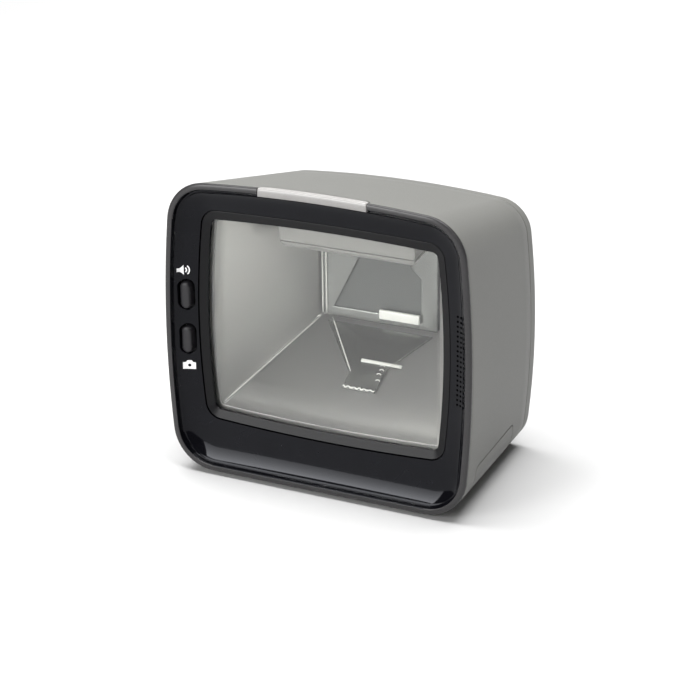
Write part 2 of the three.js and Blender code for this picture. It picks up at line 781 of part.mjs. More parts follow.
function makeSwitch(z) {
  const half = switchSize / 2;
  const sides = [buttonX - half, buttonX + half];
  const body = block(...sides, switchFront, buttonBoardFront - gap, z - half, z + half);
  return cut(body, rod(buttonX, z, plungerRadius + gap, switchFront - 1, switchFront + 2.4, 16));
}

[['volume', volumeZ], ['image', imageZ]].forEach(([name, z]) => {
  place(`${name}_button`, makeButton(z), finishes.buttonGrey);
  const plunger = rod(buttonX, z, plungerRadius, plungerFront, switchFront + plungerReach);
  place(`${name}_plunger`, plunger, finishes.innerBlack);
  place(`${name}_switch`, makeSwitch(z), finishes.steel);
});
const boardReach = 9; // how far the board runs above and below the two switches
place('button_board', block(
  mountClearance - insideAt(buttonBoardRear).half, buttonX + 4.5, buttonBoardFront, buttonBoardRear,
  imageZ - boardReach, volumeZ + boardReach,
), finishes.board);

// ---------------------------------------------------------------- speaker

const basketRear = speakerFront + 5;
const magnetRear = basketRear + 4;

function makeSpeakerFrame() {
  const middle = [speakerX, grilleZ];
  const rim = pill(...middle, speakerWidth, speakerHeight, speakerFront, speakerFront + speakerRim);
  const basket = pill(...middle, speakerWidth - 1.6, speakerHeight - 6, speakerFront + 1, basketRear);
  const hollow = pill(...middle, speakerWidth - 3.2, speakerHeight - 8, speakerFront - 1, basketRear - 1);
  return cut(join(rim, basket), hollow);
}

const meshFront = dishEnd + bezelThickness + gap;
place('speaker_mesh', block(
  grilleX - 3.2, grilleX + 2.8, meshFront, meshFront + 0.6, grilleZ - 22, grilleZ + 22,
), finishes.cone);
place('speaker_frame', makeSpeakerFrame(), finishes.steel);
place('speaker_cone', pill(
  speakerX, grilleZ, speakerWidth - 3.8, speakerHeight - 8.6, speakerFront + 0.8, speakerFront + 1.4,
), finishes.cone);
place('speaker_magnet', pill(
  speakerX, grilleZ, speakerWidth - 2.4, 15, basketRear + gap, magnetRear,
), finishes.steel);

// ---------------------------------------------------------------- light funnel and its plates

const chamberLeft = -chamberOutline.width / 2;
const chamberRight = chamberOutline.width / 2;
const chamberFloor = chamberOutline.base;
const mouthEnd = flangeFront + funnelStraight;
const mouthBase = apertureOutline.base + funnelLip;
const floorSlope = Math.atan2(chamberFloor - mouthBase, funnelBack - mouthEnd);

function makeFunnel() {
  const flangeBack = flangeFront + flangeThickness;
  const shell = skin([
    ring(apertureOutline, flangeFront, funnelLip), ring(panelOutline, flangeFront, gap),
    ring(panelOutline, flangeBack, gap), ring(apertureOutline, flangeBack, -funnelWall),
    ring(chamberOutline, funnelBack, -funnelWall), ring(chamberOutline, funnelBack),
    ring(apertureOutline, mouthEnd, funnelLip),
  ], true);
  const ears = [-1, 1].flatMap((side) => bossZ.map((z) => {
    const sides = [panelOutline.width / 2 - 8, bossX + earReach].map((x) => side * x);
    const heights = [z - earReach, z + earReach];
    return block(Math.min(...sides), Math.max(...sides), flangeFront, flangeBack, ...heights);
  }));
  return join(shell, ...ears);
}

// Anything on the sloping floor is drawn in a group whose y runs up the slope from the window.
const floorFrame = new THREE.Group();
floorFrame.position.set(0, mouthEnd, mouthBase);
floorFrame.rotation.x = floorSlope;
bodyFrame.add(floorFrame);

// A distance up the slope for a depth behind the front outline.
function upSlope(y) {
  return (y - mouthEnd) / Math.cos(floorSlope);
}

function floorPlate(points, from, to) {
  const shape = new THREE.Shape(points.map(([x, y]) => new THREE.Vector2(x, upSlope(y))));
  return new THREE.ExtrudeGeometry(shape, { depth: to - from, bevelEnabled: false }).translate(0, 0, from);
}

const mirrorFoot = 33; // the front edge of the floor mirror
const mirrorNotch = [-2.5, 14];
const pipeY = 47;
const pipeSpan = [0.8, 21.4]; // both light pipes
const mirrorMargin = 1.4;
const mirrorRear = funnelBack - 4;

const floorMirror = [
  [mirrorNotch[0], mirrorFoot], [mirrorNotch[1], mirrorFoot], [mirrorNotch[1], pipeY - 2],
  [chamberRight - mirrorMargin, mirrorRear], [chamberLeft + mirrorMargin * 3, mirrorRear],
  [mirrorNotch[0], pipeY - 6.5],
];
const pipeDepth = 1.4;
const floorPipe = [
  [pipeSpan[0], pipeY - pipeDepth / 2], [pipeSpan[1], pipeY - pipeDepth / 2],
  [pipeSpan[1], pipeY + pipeDepth / 2], [pipeSpan[0], pipeY + pipeDepth / 2],
];

place('light_funnel', makeFunnel(), finishes.reflector);
const plateTop = plateLift + plateThickness;
place('floor_mirror', floorPlate(floorMirror, plateLift, plateTop), finishes.mirror, floorFrame);
const pipeLift = plateTop + gap;
place('floor_light_pipe', floorPlate(floorPipe, pipeLift, pipeLift + 0.9), finishes.clear, floorFrame);

const rearMirrorFront = funnelBack - 2.3;
const cameraOpening = [[-24, 64], [21.5, 64], [21.5, 84], [16, 89], [16, 100], [-5.4, 100]];
const rearMirrorTop = 103;

function makeRearMirror() {
  const plate = block(
    chamberLeft + gap, chamberRight - gap, rearMirrorFront, rearMirrorFront + plateThickness,
    chamberFloor + gap, rearMirrorTop,
  );
  return cut(plate, polygon(cameraOpening, rearMirrorFront - 1, rearMirrorFront + plateThickness + 1));
}

place('rear_mirror', makeRearMirror(), finishes.mirror);
place('camera_window', block(
  -26, 24, rearMirrorFront + plateThickness + gap, funnelBack, chamberFloor + 2, rearMirrorTop,
), finishes.smoked);
place('rear_light_pipe', block(
  pipeSpan[0], pipeSpan[1], rearMirrorFront - 2, rearMirrorFront - gap, 62.2, 66.7,
), finishes.clear);

// ---------------------------------------------------------------- top light box

const chamberTop = chamberOutline.base + chamberOutline.height;
const lightBox = {
  half: 34, rearHalf: 28.8, front: 33, rear: funnelBack - 3.2,
  base: chamberTop - 10.6, top: chamberTop - 1, shell: 1.5,
};
const diffuserDepth = 2.7;
const diffuserBevel = 1.6;

// The light box's outline in plan, narrowing to the rear as the funnel does.
function boxRing(z, inset = 0) {
  const { half, rearHalf, front, rear } = lightBox;
  return [
    new THREE.Vector3(inset - half, front + inset, z),
    new THREE.Vector3(half - inset, front + inset, z),
    new THREE.Vector3(rearHalf - inset, rear - inset, z),
    new THREE.Vector3(inset - rearHalf, rear - inset, z),
  ];
}

function makeLightBox() {
  const { base, top: roof, shell } = lightBox;
  const hollow = skin([boxRing(base - 1, shell), boxRing(roof - shell, shell)]);
  return cut(skin([boxRing(base), boxRing(roof)]), hollow);
}

function makeDiffuser() {
  const level = lightBox.base - gap;
  return skin([boxRing(level - diffuserDepth, diffuserBevel), boxRing(level - 0.6), boxRing(level)]);
}

place('top_light_box', makeLightBox(), finishes.frosted);
place('top_light_diffuser', makeDiffuser(), finishes.frosted);
const ledBoardBase = lightBox.base + 3;
place('top_light_board', skin([ledBoardBase, ledBoardBase + boardThickness].map((z) => {
  return boxRing(z, lightBox.shell + gap);
})), finishes.board);

// ---------------------------------------------------------------- camera

const stakeReach = 13; // from the lens axis to each of the two posts that the board is staked to
const stakeRadius = 1.5;
const stakeShoulder = 2.6; // radius of each post below its stake
const cameraBoardRear = cameraBoardFront + boardThickness;
const holderSize = 14;
const holderFront = carrierFront + 5.5;
const carrierBack = carrierFront + carrierThickness;
const barrelFront = carrierBack + gap;

function makeCarrier() {
  const half = chamberRight + 4;
  const plate = block(-half, half, carrierFront, carrierBack, chamberFloor - 3, rearMirrorTop + 8);
  const opening = block(-22, 22, carrierFront - 1, carrierBack + 1, chamberFloor + 5, 90);
  const posts = [-1, 1].flatMap((side) => [
    rod(lensX + side * stakeReach, lensZ, stakeShoulder, carrierFront + 1, cameraBoardFront - gap),
    rod(lensX + side * stakeReach, lensZ, stakeRadius, carrierFront + 1, cameraBoardRear + 1),
  ]);
  const bridge = block(
    lensX - stakeReach - stakeShoulder, chamberRight, carrierFront, carrierBack, lensZ - 12, lensZ - 9,
  );
  const wings = [-1, 1].map((side) => {
    const middle = lensX + side * stakeReach;
    const sides = [middle - stakeShoulder, middle + stakeShoulder];
    return block(...sides, carrierFront, carrierBack, chamberFloor + 2, 92);
  });
  return join(cut(plate, opening), ...posts, bridge, ...wings);
}

function makeHolder() {
  const half = holderSize / 2;
  const sides = [lensX - half, lensX + half];
  const body = block(...sides, holderFront, cameraBoardFront - gap, lensZ - half, lensZ + half);
  return cut(body, rod(lensX, lensZ, barrelRadius + gap, holderFront - 1, cameraBoardFront, 24));
}

function makeBarrel() {
  const profile = [
    [barrelBore, barrelFront], [barrelRadius - 0.8, barrelFront], [barrelRadius, barrelFront + 0.8],
    [barrelRadius, cameraBoardFront - 2.2], [barrelBore, cameraBoardFront - 2.2],
    [barrelBore, barrelFront],
  ].map(([r, h]) => new THREE.Vector2(r, h));
  return new THREE.LatheGeometry(profile, 24).translate(lensX, 0, lensZ);
}

function makeLens() {
  const radius = barrelBore - gap;
  const profile = [
    [0, barrelFront + 0.8], [radius * 0.6, barrelFront + 1.1], [radius, barrelFront + 1.9],
    [radius, barrelFront + 3.4], [0, barrelFront + 3.4],
  ].map(([r, h]) => new THREE.Vector2(r, h));
  return new THREE.LatheGeometry(profile, 20).translate(lensX, 0, lensZ);
}

const cameraBoard = { x0: lensX - 17, x1: lensX + 17, z0: lensZ - 10.3, z1: lensZ + 11.7 };

function makeCameraBoard() {
  const { x0, x1, z0, z1 } = cameraBoard;
  const plate = block(x0, x1, cameraBoardFront, cameraBoardRear, z0, z1);
  const holes = [-1, 1].map((side) => {
    const middle = lensX + side * stakeReach;
    return rod(middle, lensZ, stakeRadius + gap, cameraBoardFront - 1, cameraBoardRear + 1);
  });
  return cut(plate, ...holes);
}

place('camera_carrier', makeCarrier(), finishes.innerBlack);
place('lens_holder', makeHolder(), finishes.innerBlack);
place('lens_barrel', makeBarrel(), finishes.innerBlack);
place('objective_lens', makeLens(), finishes.clear);
place('image_sensor', block(
  lensX - 3, lensX + 3, cameraBoardFront - gap - 0.8, cameraBoardFront - gap, lensZ - 2.5, lensZ + 2.5,
), finishes.silicon);
place('camera_board', makeCameraBoard(), finishes.board);

// ---------------------------------------------------------------- main board and leads

const boardTop = boardBottom + boardThickness;

function makeMainBoard() {
  const plate = block(-boardHalf, boardHalf, boardFront, boardRear, boardBottom, boardTop);
  const chips = [[-12, 40, 16, 16, 1.6], [16, 36, 10, 12, 1.2], [-30, 46, 8, 6, 2.4], [30, 50, 9, 9, 3]];
  const parts = chips.map(([x, y, width, depth, height]) => {
    const sides = [x - width / 2, x + width / 2];
    return block(...sides, y - depth / 2, y + depth / 2, boardBottom + 1, boardTop + height);
  });
  const holes = boardPosts.map(([x, y]) => post(x, y, screwRadius + gap, boardBottom - 1, boardTop + 1));
  return cut(join(plate, ...parts), ...holes);
}

place('main_board', makeMainBoard(), finishes.board);
boardPosts.forEach(([x, y]) => {
  const head = new THREE.Vector3(x, y, boardTop + gap + headHeight);
  const name = `board_screw_${y > riserPad.y ? 'rear' : 'front'}_${x < 0 ? 'left' : 'right'}`;
  place(name, screw(head, new THREE.Vector3(0, 0, -1), 8), finishes.steel);
});

// A round lead or a flat one, along a smooth curve through a few points.
function lead(points, section, steps) {
  const along = points.map((p) => new THREE.Vector3(...p));
  const extrudePath = new THREE.CatmullRomCurve3(along, false, 'centripetal');
  return new THREE.ExtrudeGeometry(section, { steps, extrudePath, curveSegments: 2, bevelEnabled: false });
}

function ribbonSection(width, thickness) {
  const [x, y] = [width / 2, thickness / 2];
  return new THREE.Shape([[-x, -y], [x, -y], [x, y], [-x, y]].map((p) => new THREE.Vector2(...p)));
}

function roundSection(radius) {
  return new THREE.Shape().absarc(0, 0, radius, 0, Math.PI * 2);
}

const leadRadius = 1;
const leadEndX = boardHalf - 3;
const betweenPosts = (basePostY[0] + basePostY[1]) / 2; // where the leads pass the base cover's posts
place('camera_flex', lead([
  [lensX, cameraBoardFront + 4, lensZ - 7.3], [lensX, cameraBoardFront + 4, lensZ - 17.3],
  [lensX, cameraBoardFront - 5, 34], [lensX, cameraBoardFront - 15, 21],
  [lensX, cameraBoardFront - 21, boardTop + 2.2],
], ribbonSection(8, 0.5), 14), finishes.flex);
place('speaker_lead', lead([
  [speakerX - 1, magnetRear + 3, grilleZ - 14], [speakerX - 1, betweenPosts - 6, 40],
  [leadEndX + 13, betweenPosts, 26], [leadEndX, betweenPosts + 4, boardTop + 3],
], roundSection(leadRadius), 12), finishes.innerBlack);
place('button_lead', lead([
  [buttonX + 1, buttonBoardRear + 2.4, imageZ], [buttonX + 1, betweenPosts - 6, 40],
  [-leadEndX - 13, betweenPosts, 26], [-leadEndX, betweenPosts - 2, boardTop + 3],
], roundSection(leadRadius), 12), finishes.innerBlack);

export default scanner;
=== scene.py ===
"""Finish, fine shapes and studio for a counter-top barcode scanner.

Lengths are millimetres in the body frame until place() turns them into metres in the part's frame:
y is the depth behind the widest front outline, z the height above the underside of the housing.
"""

import json
import math

import bmesh
import bpy
import numpy as np
from mathutils import Matrix, Vector
from mathutils.bvhtree import BVHTree


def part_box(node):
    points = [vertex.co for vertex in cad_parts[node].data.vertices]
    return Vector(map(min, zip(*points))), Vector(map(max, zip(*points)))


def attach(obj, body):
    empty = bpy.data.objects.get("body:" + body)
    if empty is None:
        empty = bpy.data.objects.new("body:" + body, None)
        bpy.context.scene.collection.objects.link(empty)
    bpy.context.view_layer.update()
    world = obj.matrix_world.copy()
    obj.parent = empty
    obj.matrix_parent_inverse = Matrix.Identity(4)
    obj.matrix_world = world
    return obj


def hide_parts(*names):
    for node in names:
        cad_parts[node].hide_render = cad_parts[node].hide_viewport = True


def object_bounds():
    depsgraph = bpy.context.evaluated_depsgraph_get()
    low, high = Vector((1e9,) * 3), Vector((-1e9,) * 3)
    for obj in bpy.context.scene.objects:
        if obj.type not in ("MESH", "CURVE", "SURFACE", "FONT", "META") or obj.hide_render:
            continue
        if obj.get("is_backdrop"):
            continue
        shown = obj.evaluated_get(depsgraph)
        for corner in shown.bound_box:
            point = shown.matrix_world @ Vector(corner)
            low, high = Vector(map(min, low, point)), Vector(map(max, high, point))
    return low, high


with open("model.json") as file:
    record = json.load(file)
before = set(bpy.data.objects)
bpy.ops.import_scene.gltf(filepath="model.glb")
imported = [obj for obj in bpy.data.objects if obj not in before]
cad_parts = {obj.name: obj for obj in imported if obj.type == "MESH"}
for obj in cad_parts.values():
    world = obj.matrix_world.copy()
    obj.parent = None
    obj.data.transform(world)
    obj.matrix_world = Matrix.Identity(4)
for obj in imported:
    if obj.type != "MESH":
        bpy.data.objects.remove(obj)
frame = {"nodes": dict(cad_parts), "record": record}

cad_low, cad_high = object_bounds()
MM = 0.001
BODY = "scanner"

# ---------------------------------------------------------------- sizes

LIP_REACH = 0.7  # how far the front lip stands forward of the widest outline
FRONT = cad_low.y / MM + LIP_REACH
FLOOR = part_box("main_housing")[0].z / MM
WIDTH = (cad_high.x - cad_low.x) / MM
DEPTH = (cad_high.y - cad_low.y) / MM
HEIGHT = cad_high.z / MM - FLOOR

GAP = 0.3  # between neighbouring mouldings
OVERCUT = 1  # how far a cutter runs past what it cuts
BELOW = 3  # how far below the base its cutters start
WALL = 2.2
REAR_FACE = DEPTH - LIP_REACH
CROWN_DEPTH, CROWN_INSET = 3.0, 4.2  # the rounded border of the rear face
TAPER = REAR_FACE - CROWN_DEPTH

FRONT_SHAPE = dict(width=WIDTH, height=140.6, base=0, side=4.7, top=4.0, foot=0.2, corner=20.3)
REAR_SHAPE = dict(width=136.1, height=122.6, base=0.2, side=4.7, top=3.9, foot=0.2, corner=16.5)
PANEL = dict(width=125.8, height=103.8, base=21.5, side=3.7, top=1.5, foot=2.2, corner=8)
APERTURE = dict(width=117.1, height=94.6, base=26.1, side=2.9, top=1.8, foot=1.7, corner=3)
CHAMBER = dict(width=60, height=57, base=59, side=0.05, top=0.05, foot=0.05, corner=1.5)

FLARE = 0.00012  # how much wider each outline is for every millimetre nearer its foot
RIM_DEPTH = 1.0  # how far back the bezel's rim covers the sides
GROOVE_INSET = 3.15
DISH_INSET = 4.2
DISH_START = 2.45
DISH_END = 7
DISH_FILLET = 0.34  # share of the dish's depth that its outer fillet takes
DISH_POWER = 6
DISH_SHARES = np.linspace(0, 1, 36) ** 1.6  # the dish's rings, from its outer edge to the panel
BEZEL_THICKNESS = 1.8
FRAME_FRONT = 7.4
APERTURE_FRONT = 8.7
FRAME_BACK = 10.2
FLANGE_FRONT = 12.8
FLANGE_THICKNESS = 2
FUNNEL_BACK = 68.7
FUNNEL_LIP = 1
FUNNEL_WALL = 1.8
MOUTH = FLANGE_FRONT + 1.4
REAR_SEAM = 84
BASE_START, BASE_END, BASE_TOP = 13, 66, 21
BASE_CORNER = 3

LIGHT_HALF = 26.4
LIGHT_DEPTH = 5.5
LIGHT_THICKNESS = 4.0
LIGHT_TURN = 4

BUTTON_X = -WIDTH / 2 + 8.4
VOLUME_Z, IMAGE_Z = 82.8, 61.3
BUTTON_SIZE = (5.2, 12.8)
BUTTON_CLEARANCE = 0.8
BUTTON_FRONT = 3.2

SOCKET_BASE = 11.9
SOCKETS = ((-22, 15.6, 13.4), (4, 13.2, 6.2), (27, 9.6, 11))  # middle, width and height
REAR_SCREWS = ((-60, 26), (-60, 100), (60, 26), (60, 100))
BASE_SCREWS = ((-50, 22), (-50, 58), (50, 22), (50, 58))
PAD_Y = 39.5
PAD_HALF, PAD_HEIGHT = (22, 12), 0.8
INSERT_X = (-15, 15)
SCREW_POST, INSERT_POST = (4, 8.6), (4.8, 8)  # radius and top
# radius and depth of the holes in the base cover and of the feet's seats
SCREW_SINK, SCREW_HOLE, INSERT_HOLE, FOOT_SEAT = (3.1, 2.3), (1.8, 11), (2.95, 6.6), (4.8, 0.7)
REAR_SINK_DEPTH, REAR_HOLE_DEPTH = 2.1, 5
FEET = ("front_left_foot", "front_right_foot", "rear_left_foot", "rear_right_foot")

GRILLE_X = WIDTH / 2 - 7.35
GRILLE_Z = 73
GRILLE_PITCH = (1.85, 2.26)
GRILLE_COUNT = (3, 19)
GRILLE_HOLE = 1.15
GRILLE_DEPTH, GRILLE_REACH = 4, 12  # the middle and the length of its cutters


# ---------------------------------------------------------------- outlines

def mix(a, b, t):
    return a + (b - a) * t


def mix_shape(a, b, t):
    return {key: mix(a[key], b[key], t) for key in a}


def crossing(a, radius_a, b, radius_b, direction):
    """Where two circles cross, on the side that direction points to."""
    line = b - a
    distance = line.length
    line = line / distance
    along = (radius_a ** 2 - radius_b ** 2 + distance ** 2) / (2 * distance)
    across = math.sqrt(max(radius_a ** 2 - along ** 2, 0))
    foot = a + line * along
    side = Vector((-line.y, line.x)) * across
    return foot + side if side.dot(direction) > 0 else foot - side


def arc(centre, radius, start, end, steps):
    angles = [mix(start, end, i / steps) for i in range(steps + 1)]
    return [(centre.x + radius * math.cos(a), centre.y + radius * math.sin(a)) for a in angles]


def angle_from(centre, point):
    return math.atan2(point.y - centre.y, point.x - centre.x)


def bow_radius(chord, rise):
    """The radius of an arc that bows by rise over a chord."""
    return chord ** 2 / (8 * rise) + rise / 2


ARC_STEPS = dict(foot=20, corner=22, side=40, top=24)
PILL_STEPS = 12


def outline(shape, inset=0.0):
    """The outline in x and z, anticlockwise from the foot's middle as seen from the front."""
    half = shape["width"] / 2
    height = shape["height"]
    side_radius = bow_radius(height, shape["side"])
    top_radius = bow_radius(shape["width"], shape["top"])
    foot_radius = bow_radius(shape["width"], shape["foot"])
    side = Vector((half - side_radius, shape["base"] + height / 2))
    top = Vector((0, shape["base"] + height - top_radius))
    foot = Vector((0, shape["base"] + foot_radius))
    corner = max(shape["corner"] - inset, GAP)
    inner = side_radius - inset - corner
    upper = crossing(side, inner, top, top_radius - inset - corner, Vector((1, 1)))
    lower = crossing(side, inner, foot, foot_radius - inset - corner, Vector((1, -1)))
    foot_angle = angle_from(foot, lower)
    low_angle = angle_from(side, lower)
    high_angle = angle_from(side, upper)
    top_angle = angle_from(top, upper)
    right = arc(foot, foot_radius - inset, -math.pi / 2, foot_angle, ARC_STEPS["foot"])
    right += arc(lower, corner, foot_angle, low_angle, ARC_STEPS["corner"])[1:]
    right += arc(side, side_radius - inset, low_angle, high_angle, ARC_STEPS["side"])[1:]
    right += arc(upper, corner, high_angle, top_angle, ARC_STEPS["corner"])[1:]
    right += arc(top, top_radius - inset, top_angle, math.pi / 2, ARC_STEPS["top"])[1:]
    left = [(-x, z) for x, z in reversed(right[1:-1])]
    points = np.array(right + left)
    points[:, 0] *= 1 + FLARE * (FRONT_SHAPE["height"] / 2 - points[:, 1])
    return points


def ring(shape, y, inset=0.0):
    points = outline(shape, inset)
    return np.column_stack([points[:, 0], np.full(len(points), float(y)), points[:, 1]])


def body_shape(y):
    return mix_shape(FRONT_SHAPE, REAR_SHAPE, y / TAPER)


def body_ring(y, inset=0.0):
    return ring(body_shape(y), y, inset)


def body_rings(start, end, inset, count):
    return [body_ring(y, inset) for y in np.linspace(start, end, count)]


def dish_depth(share):
    fillet = 1 - (1 - share) ** DISH_POWER
    return mix(DISH_START, DISH_END, (1 - DISH_FILLET) * share + DISH_FILLET * fillet)


def dish_ring(share, lift=0.0):
    start = body_ring(0, DISH_INSET)
    end = ring(PANEL, 0)
    points = mix(start, end, share)
    points[:, 1] = dish_depth(share) + lift
    return points


def pill_ring(x, z, width, height, y, grow=0.0):
    """A round-ended outline about a centre."""
    radius = min(width, height) / 2 + grow
    reach_x = max(width / 2 + grow - radius, 0)
    reach_z = max(height / 2 + grow - radius, 0)
    points = []
    for quarter, (sx, sz) in enumerate([(1, -1), (1, 1), (-1, 1), (-1, -1)]):
        for i in range(PILL_STEPS + 1):
            angle = (quarter - 1 + i / PILL_STEPS) * math.pi / 2
            points.append((x + sx * reach_x + radius * math.cos(angle), y,
                           z + sz * reach_z + radius * math.sin(angle)))
    return np.array(points)


def circle(x, y, radius, steps=32, start=0.0, end=math.tau):
    """Points on a circle or an arc. A whole circle leaves out the repeated last point."""
    full = end - start >= math.tau - 1e-6
    return [(x + radius * math.cos(a), y + radius * math.sin(a))
            for a in np.linspace(start, end, steps, endpoint=not full)]


# ---------------------------------------------------------------- meshes

DOUBLES = 1e-7  # metres within which two points are one
SMOOTH_ANGLE = 32


def place(points):
    return np.asarray(points, float) * MM + np.array([0, FRONT, FLOOR]) * MM


def tidy(data):
    """Merges doubles and turns every face outwards."""
    bm = bmesh.new()
    bm.from_mesh(data)
    bmesh.ops.remove_doubles(bm, verts=bm.verts, dist=DOUBLES)
    bmesh.ops.dissolve_degenerate(bm, edges=bm.edges, dist=DOUBLES)
    bmesh.ops.recalc_face_normals(bm, faces=bm.faces)
    bm.to_mesh(data)
    bm.free()


def shade(data, angle=SMOOTH_ANGLE):
    data.polygons.foreach_set("use_smooth", [True] * len(data.polygons))
    data.set_sharp_from_angle(angle=math.radians(angle))


def put(name, data):
    """A new object in the scene, at the origin."""
    piece = bpy.data.objects.new(name, data)
    bpy.context.scene.collection.objects.link(piece)
    return piece


def raw_mesh(name, points, faces=()):
    data = bpy.data.meshes.new(name)
    data.from_pydata([tuple(p) for p in points], [], list(faces))
    return data


def new_object(name, points, faces, angle=SMOOTH_ANGLE):
    data = raw_mesh(name, place(points), faces)
    tidy(data)
    shade(data, angle)
    return put(name, data)


def skin(name, rings, closed=False, angle=SMOOTH_ANGLE):
    """A closed skin over rings of equal length. closed joins the last ring to the first."""
    count = len(rings[0])
    points = np.vstack(rings)
    faces = []
    for band in range(len(rings) if closed else len(rings) - 1):
        here = band * count
        there = ((band + 1) % len(rings)) * count
        for i in range(count):
            j = (i + 1) % count
            faces.append((here + i, here + j, there + j, there + i))
    if not closed:
        for end in (0, len(rings) - 1):
            hub = len(points)
            points = np.vstack([points, rings[end].mean(axis=0)])
            faces += [(end * count + i, end * count + (i + 1) % count, hub) for i in range(count)]
    return new_object(name, points, faces, angle)


def block(name, x, y, z):
    corners = [(i, j, k) for i in x for j in y for k in z]
    faces = [(0, 1, 3, 2), (4, 6, 7, 5), (0, 4, 5, 1), (2, 3, 7, 6), (0, 2, 6, 4), (1, 5, 7, 3)]
    return new_object(name, np.array(corners, float), faces)


def lathe(name, profile, origin, axis, steps=48):
    """A solid of revolution from (radius, height) points."""
    turn = Vector((0, 0, 1)).rotation_difference(Vector(axis)).to_matrix()
    rings = []
    for radius, height in profile:
        rings.append(np.array([turn @ Vector((x, y, height)) + Vector(origin)
                               for x, y in circle(0, 0, radius, steps)]))
    return skin(name, rings)


def finished(piece):
    """The piece with its modifiers applied, as a plain mesh."""
    graph = bpy.context.evaluated_depsgraph_get()
    data = bpy.data.meshes.new_from_object(piece.evaluated_get(graph))
    piece.modifiers.clear()
    piece.data = data
    return piece


def boolean(piece, operation, *tools, angle=SMOOTH_ANGLE):
    """Cuts, joins or meets a piece with tools, which it uses up."""
    for tool in tools:
        step = piece.modifiers.new("cut", "BOOLEAN")
        step.operation = operation
        step.solver = "EXACT"
        step.object = tool
    finished(piece)
    for tool in tools:
        bpy.data.objects.remove(tool)
    tidy(piece.data)
    shade(piece.data, angle)
    return piece


def soften(node, width):
    """A copy of a flat-faced CAD piece with rounded edges, which stands for it."""
    data = frame["nodes"][node].data.copy()
    piece = put(node + "_fine", data)
    bm = bmesh.new()
    bm.from_mesh(data)
    bmesh.ops.remove_doubles(bm, verts=bm.verts, dist=10 * DOUBLES)
    bmesh.ops.dissolve_limit(bm, angle_limit=math.radians(1), verts=bm.verts, edges=bm.edges)
    bm.to_mesh(data)
    bm.free()
    bevel = piece.modifiers.new("edge", "BEVEL")
    bevel.width = width * MM
    bevel.segments = 2
    bevel.limit_method = "ANGLE"
    bevel.angle_limit = math.radians(30)
    finished(piece)
    tidy(piece.data)
    shade(piece.data)
    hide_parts(node)
    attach(piece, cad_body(node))
    return piece


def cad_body(node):
    for name, nodes in frame["record"]["behaviour"]["bodies"].items():
        if node in nodes:
            return name
    return BODY


# ---------------------------------------------------------------- materials

def linear(code):
    """A hex colour in sRGB as linear RGBA."""
    channels = [int(code[i:i + 2], 16) / 255 for i in (1, 3, 5)]
    return tuple([c / 12.92 if c <= 0.04045 else ((c + 0.055) / 1.055) ** 2.4 for c in channels] + [1.0])


def wire(tree, node, inputs):
    """Fills a node's inputs: a socket is linked, and anything else is set as a value."""
    for key, value in inputs.items():
        if isinstance(value, bpy.types.NodeSocket):
            tree.links.new(value, node.inputs[key])
        else:
            node.inputs[key].default_value = value


def add(tree, kind, inputs=None, **settings):
    """Adds a node with its settings, input values and links."""
    made = tree.nodes.new(kind)
    for key, value in settings.items():
        setattr(made, key, value)
    wire(tree, made, inputs or {})
    return made


TINT_A, TINT_B, TINTED = 6, 7, 2  # a colour Mix node's two inputs and its output
NOISE_SPAN = {"From Min": 0.3, "From Max": 0.7}  # where most of a noise's values lie


def new_material(name, **values):
    """A material with its Principled shader set, its tree, and Object coordinates."""
    made = bpy.data.materials.new(name)
    made.use_nodes = True
    tree = made.node_tree
    shader = tree.nodes["Principled BSDF"]
    wire(tree, shader, {key.replace("_", " "): value for key, value in values.items()})
    coords = add(tree, "ShaderNodeTexCoord").outputs["Object"]
    return made, tree, shader, coords


def per_mm(size):
    """The texture scale at which one cell of a pattern is size millimetres."""
    return 1 / (size * MM)


def surface(made, tree, shader, coords, colour, roughness, spread=0.08, mottle=30.0, detail=3.0,
            grain=0.35, relief=0.02, strength=0.5, wavy=False):
    """Colour that drifts by a share, or between two colours, over mottle millimetres. Roughness varies
    with a grain this wide in millimetres, and so does the relief, unless it is wavy as the drift is."""
    drift = add(tree, "ShaderNodeTexNoise", {"Vector": coords, "Scale": per_mm(mottle), "Detail": detail})
    fine = add(tree, "ShaderNodeTexNoise", {"Vector": coords, "Scale": per_mm(grain), "Detail": 2.0})
    if isinstance(colour, str):
        base = linear(colour)
        low = tuple(c * (1 - spread) for c in base[:3]) + (1.0,)
        high = tuple(min(c * (1 + spread), 1) for c in base[:3]) + (1.0,)
    else:
        low, high = (linear(code) for code in colour)
    tint = add(tree, "ShaderNodeMix", {"Factor": drift.outputs["Fac"], TINT_A: low, TINT_B: high},
               data_type="RGBA")
    rough = add(tree, "ShaderNodeMapRange", {
        "Value": fine.outputs["Fac"], "To Min": roughness[0], "To Max": roughness[1], **NOISE_SPAN})
    height = (drift if wavy else fine).outputs["Fac"]
    bump = add(tree, "ShaderNodeBump", {"Height": height, "Strength": strength, "Distance": relief * MM})
    wire(tree, shader, {"Base Color": tint.outputs[TINTED], "Roughness": rough.outputs["Result"],
                        "Normal": bump.outputs["Normal"]})
    return made


def even(name, colour, values, **look):
    """A material whose whole surface was made in one way."""
    return surface(*new_material(name, **values), colour, **look)


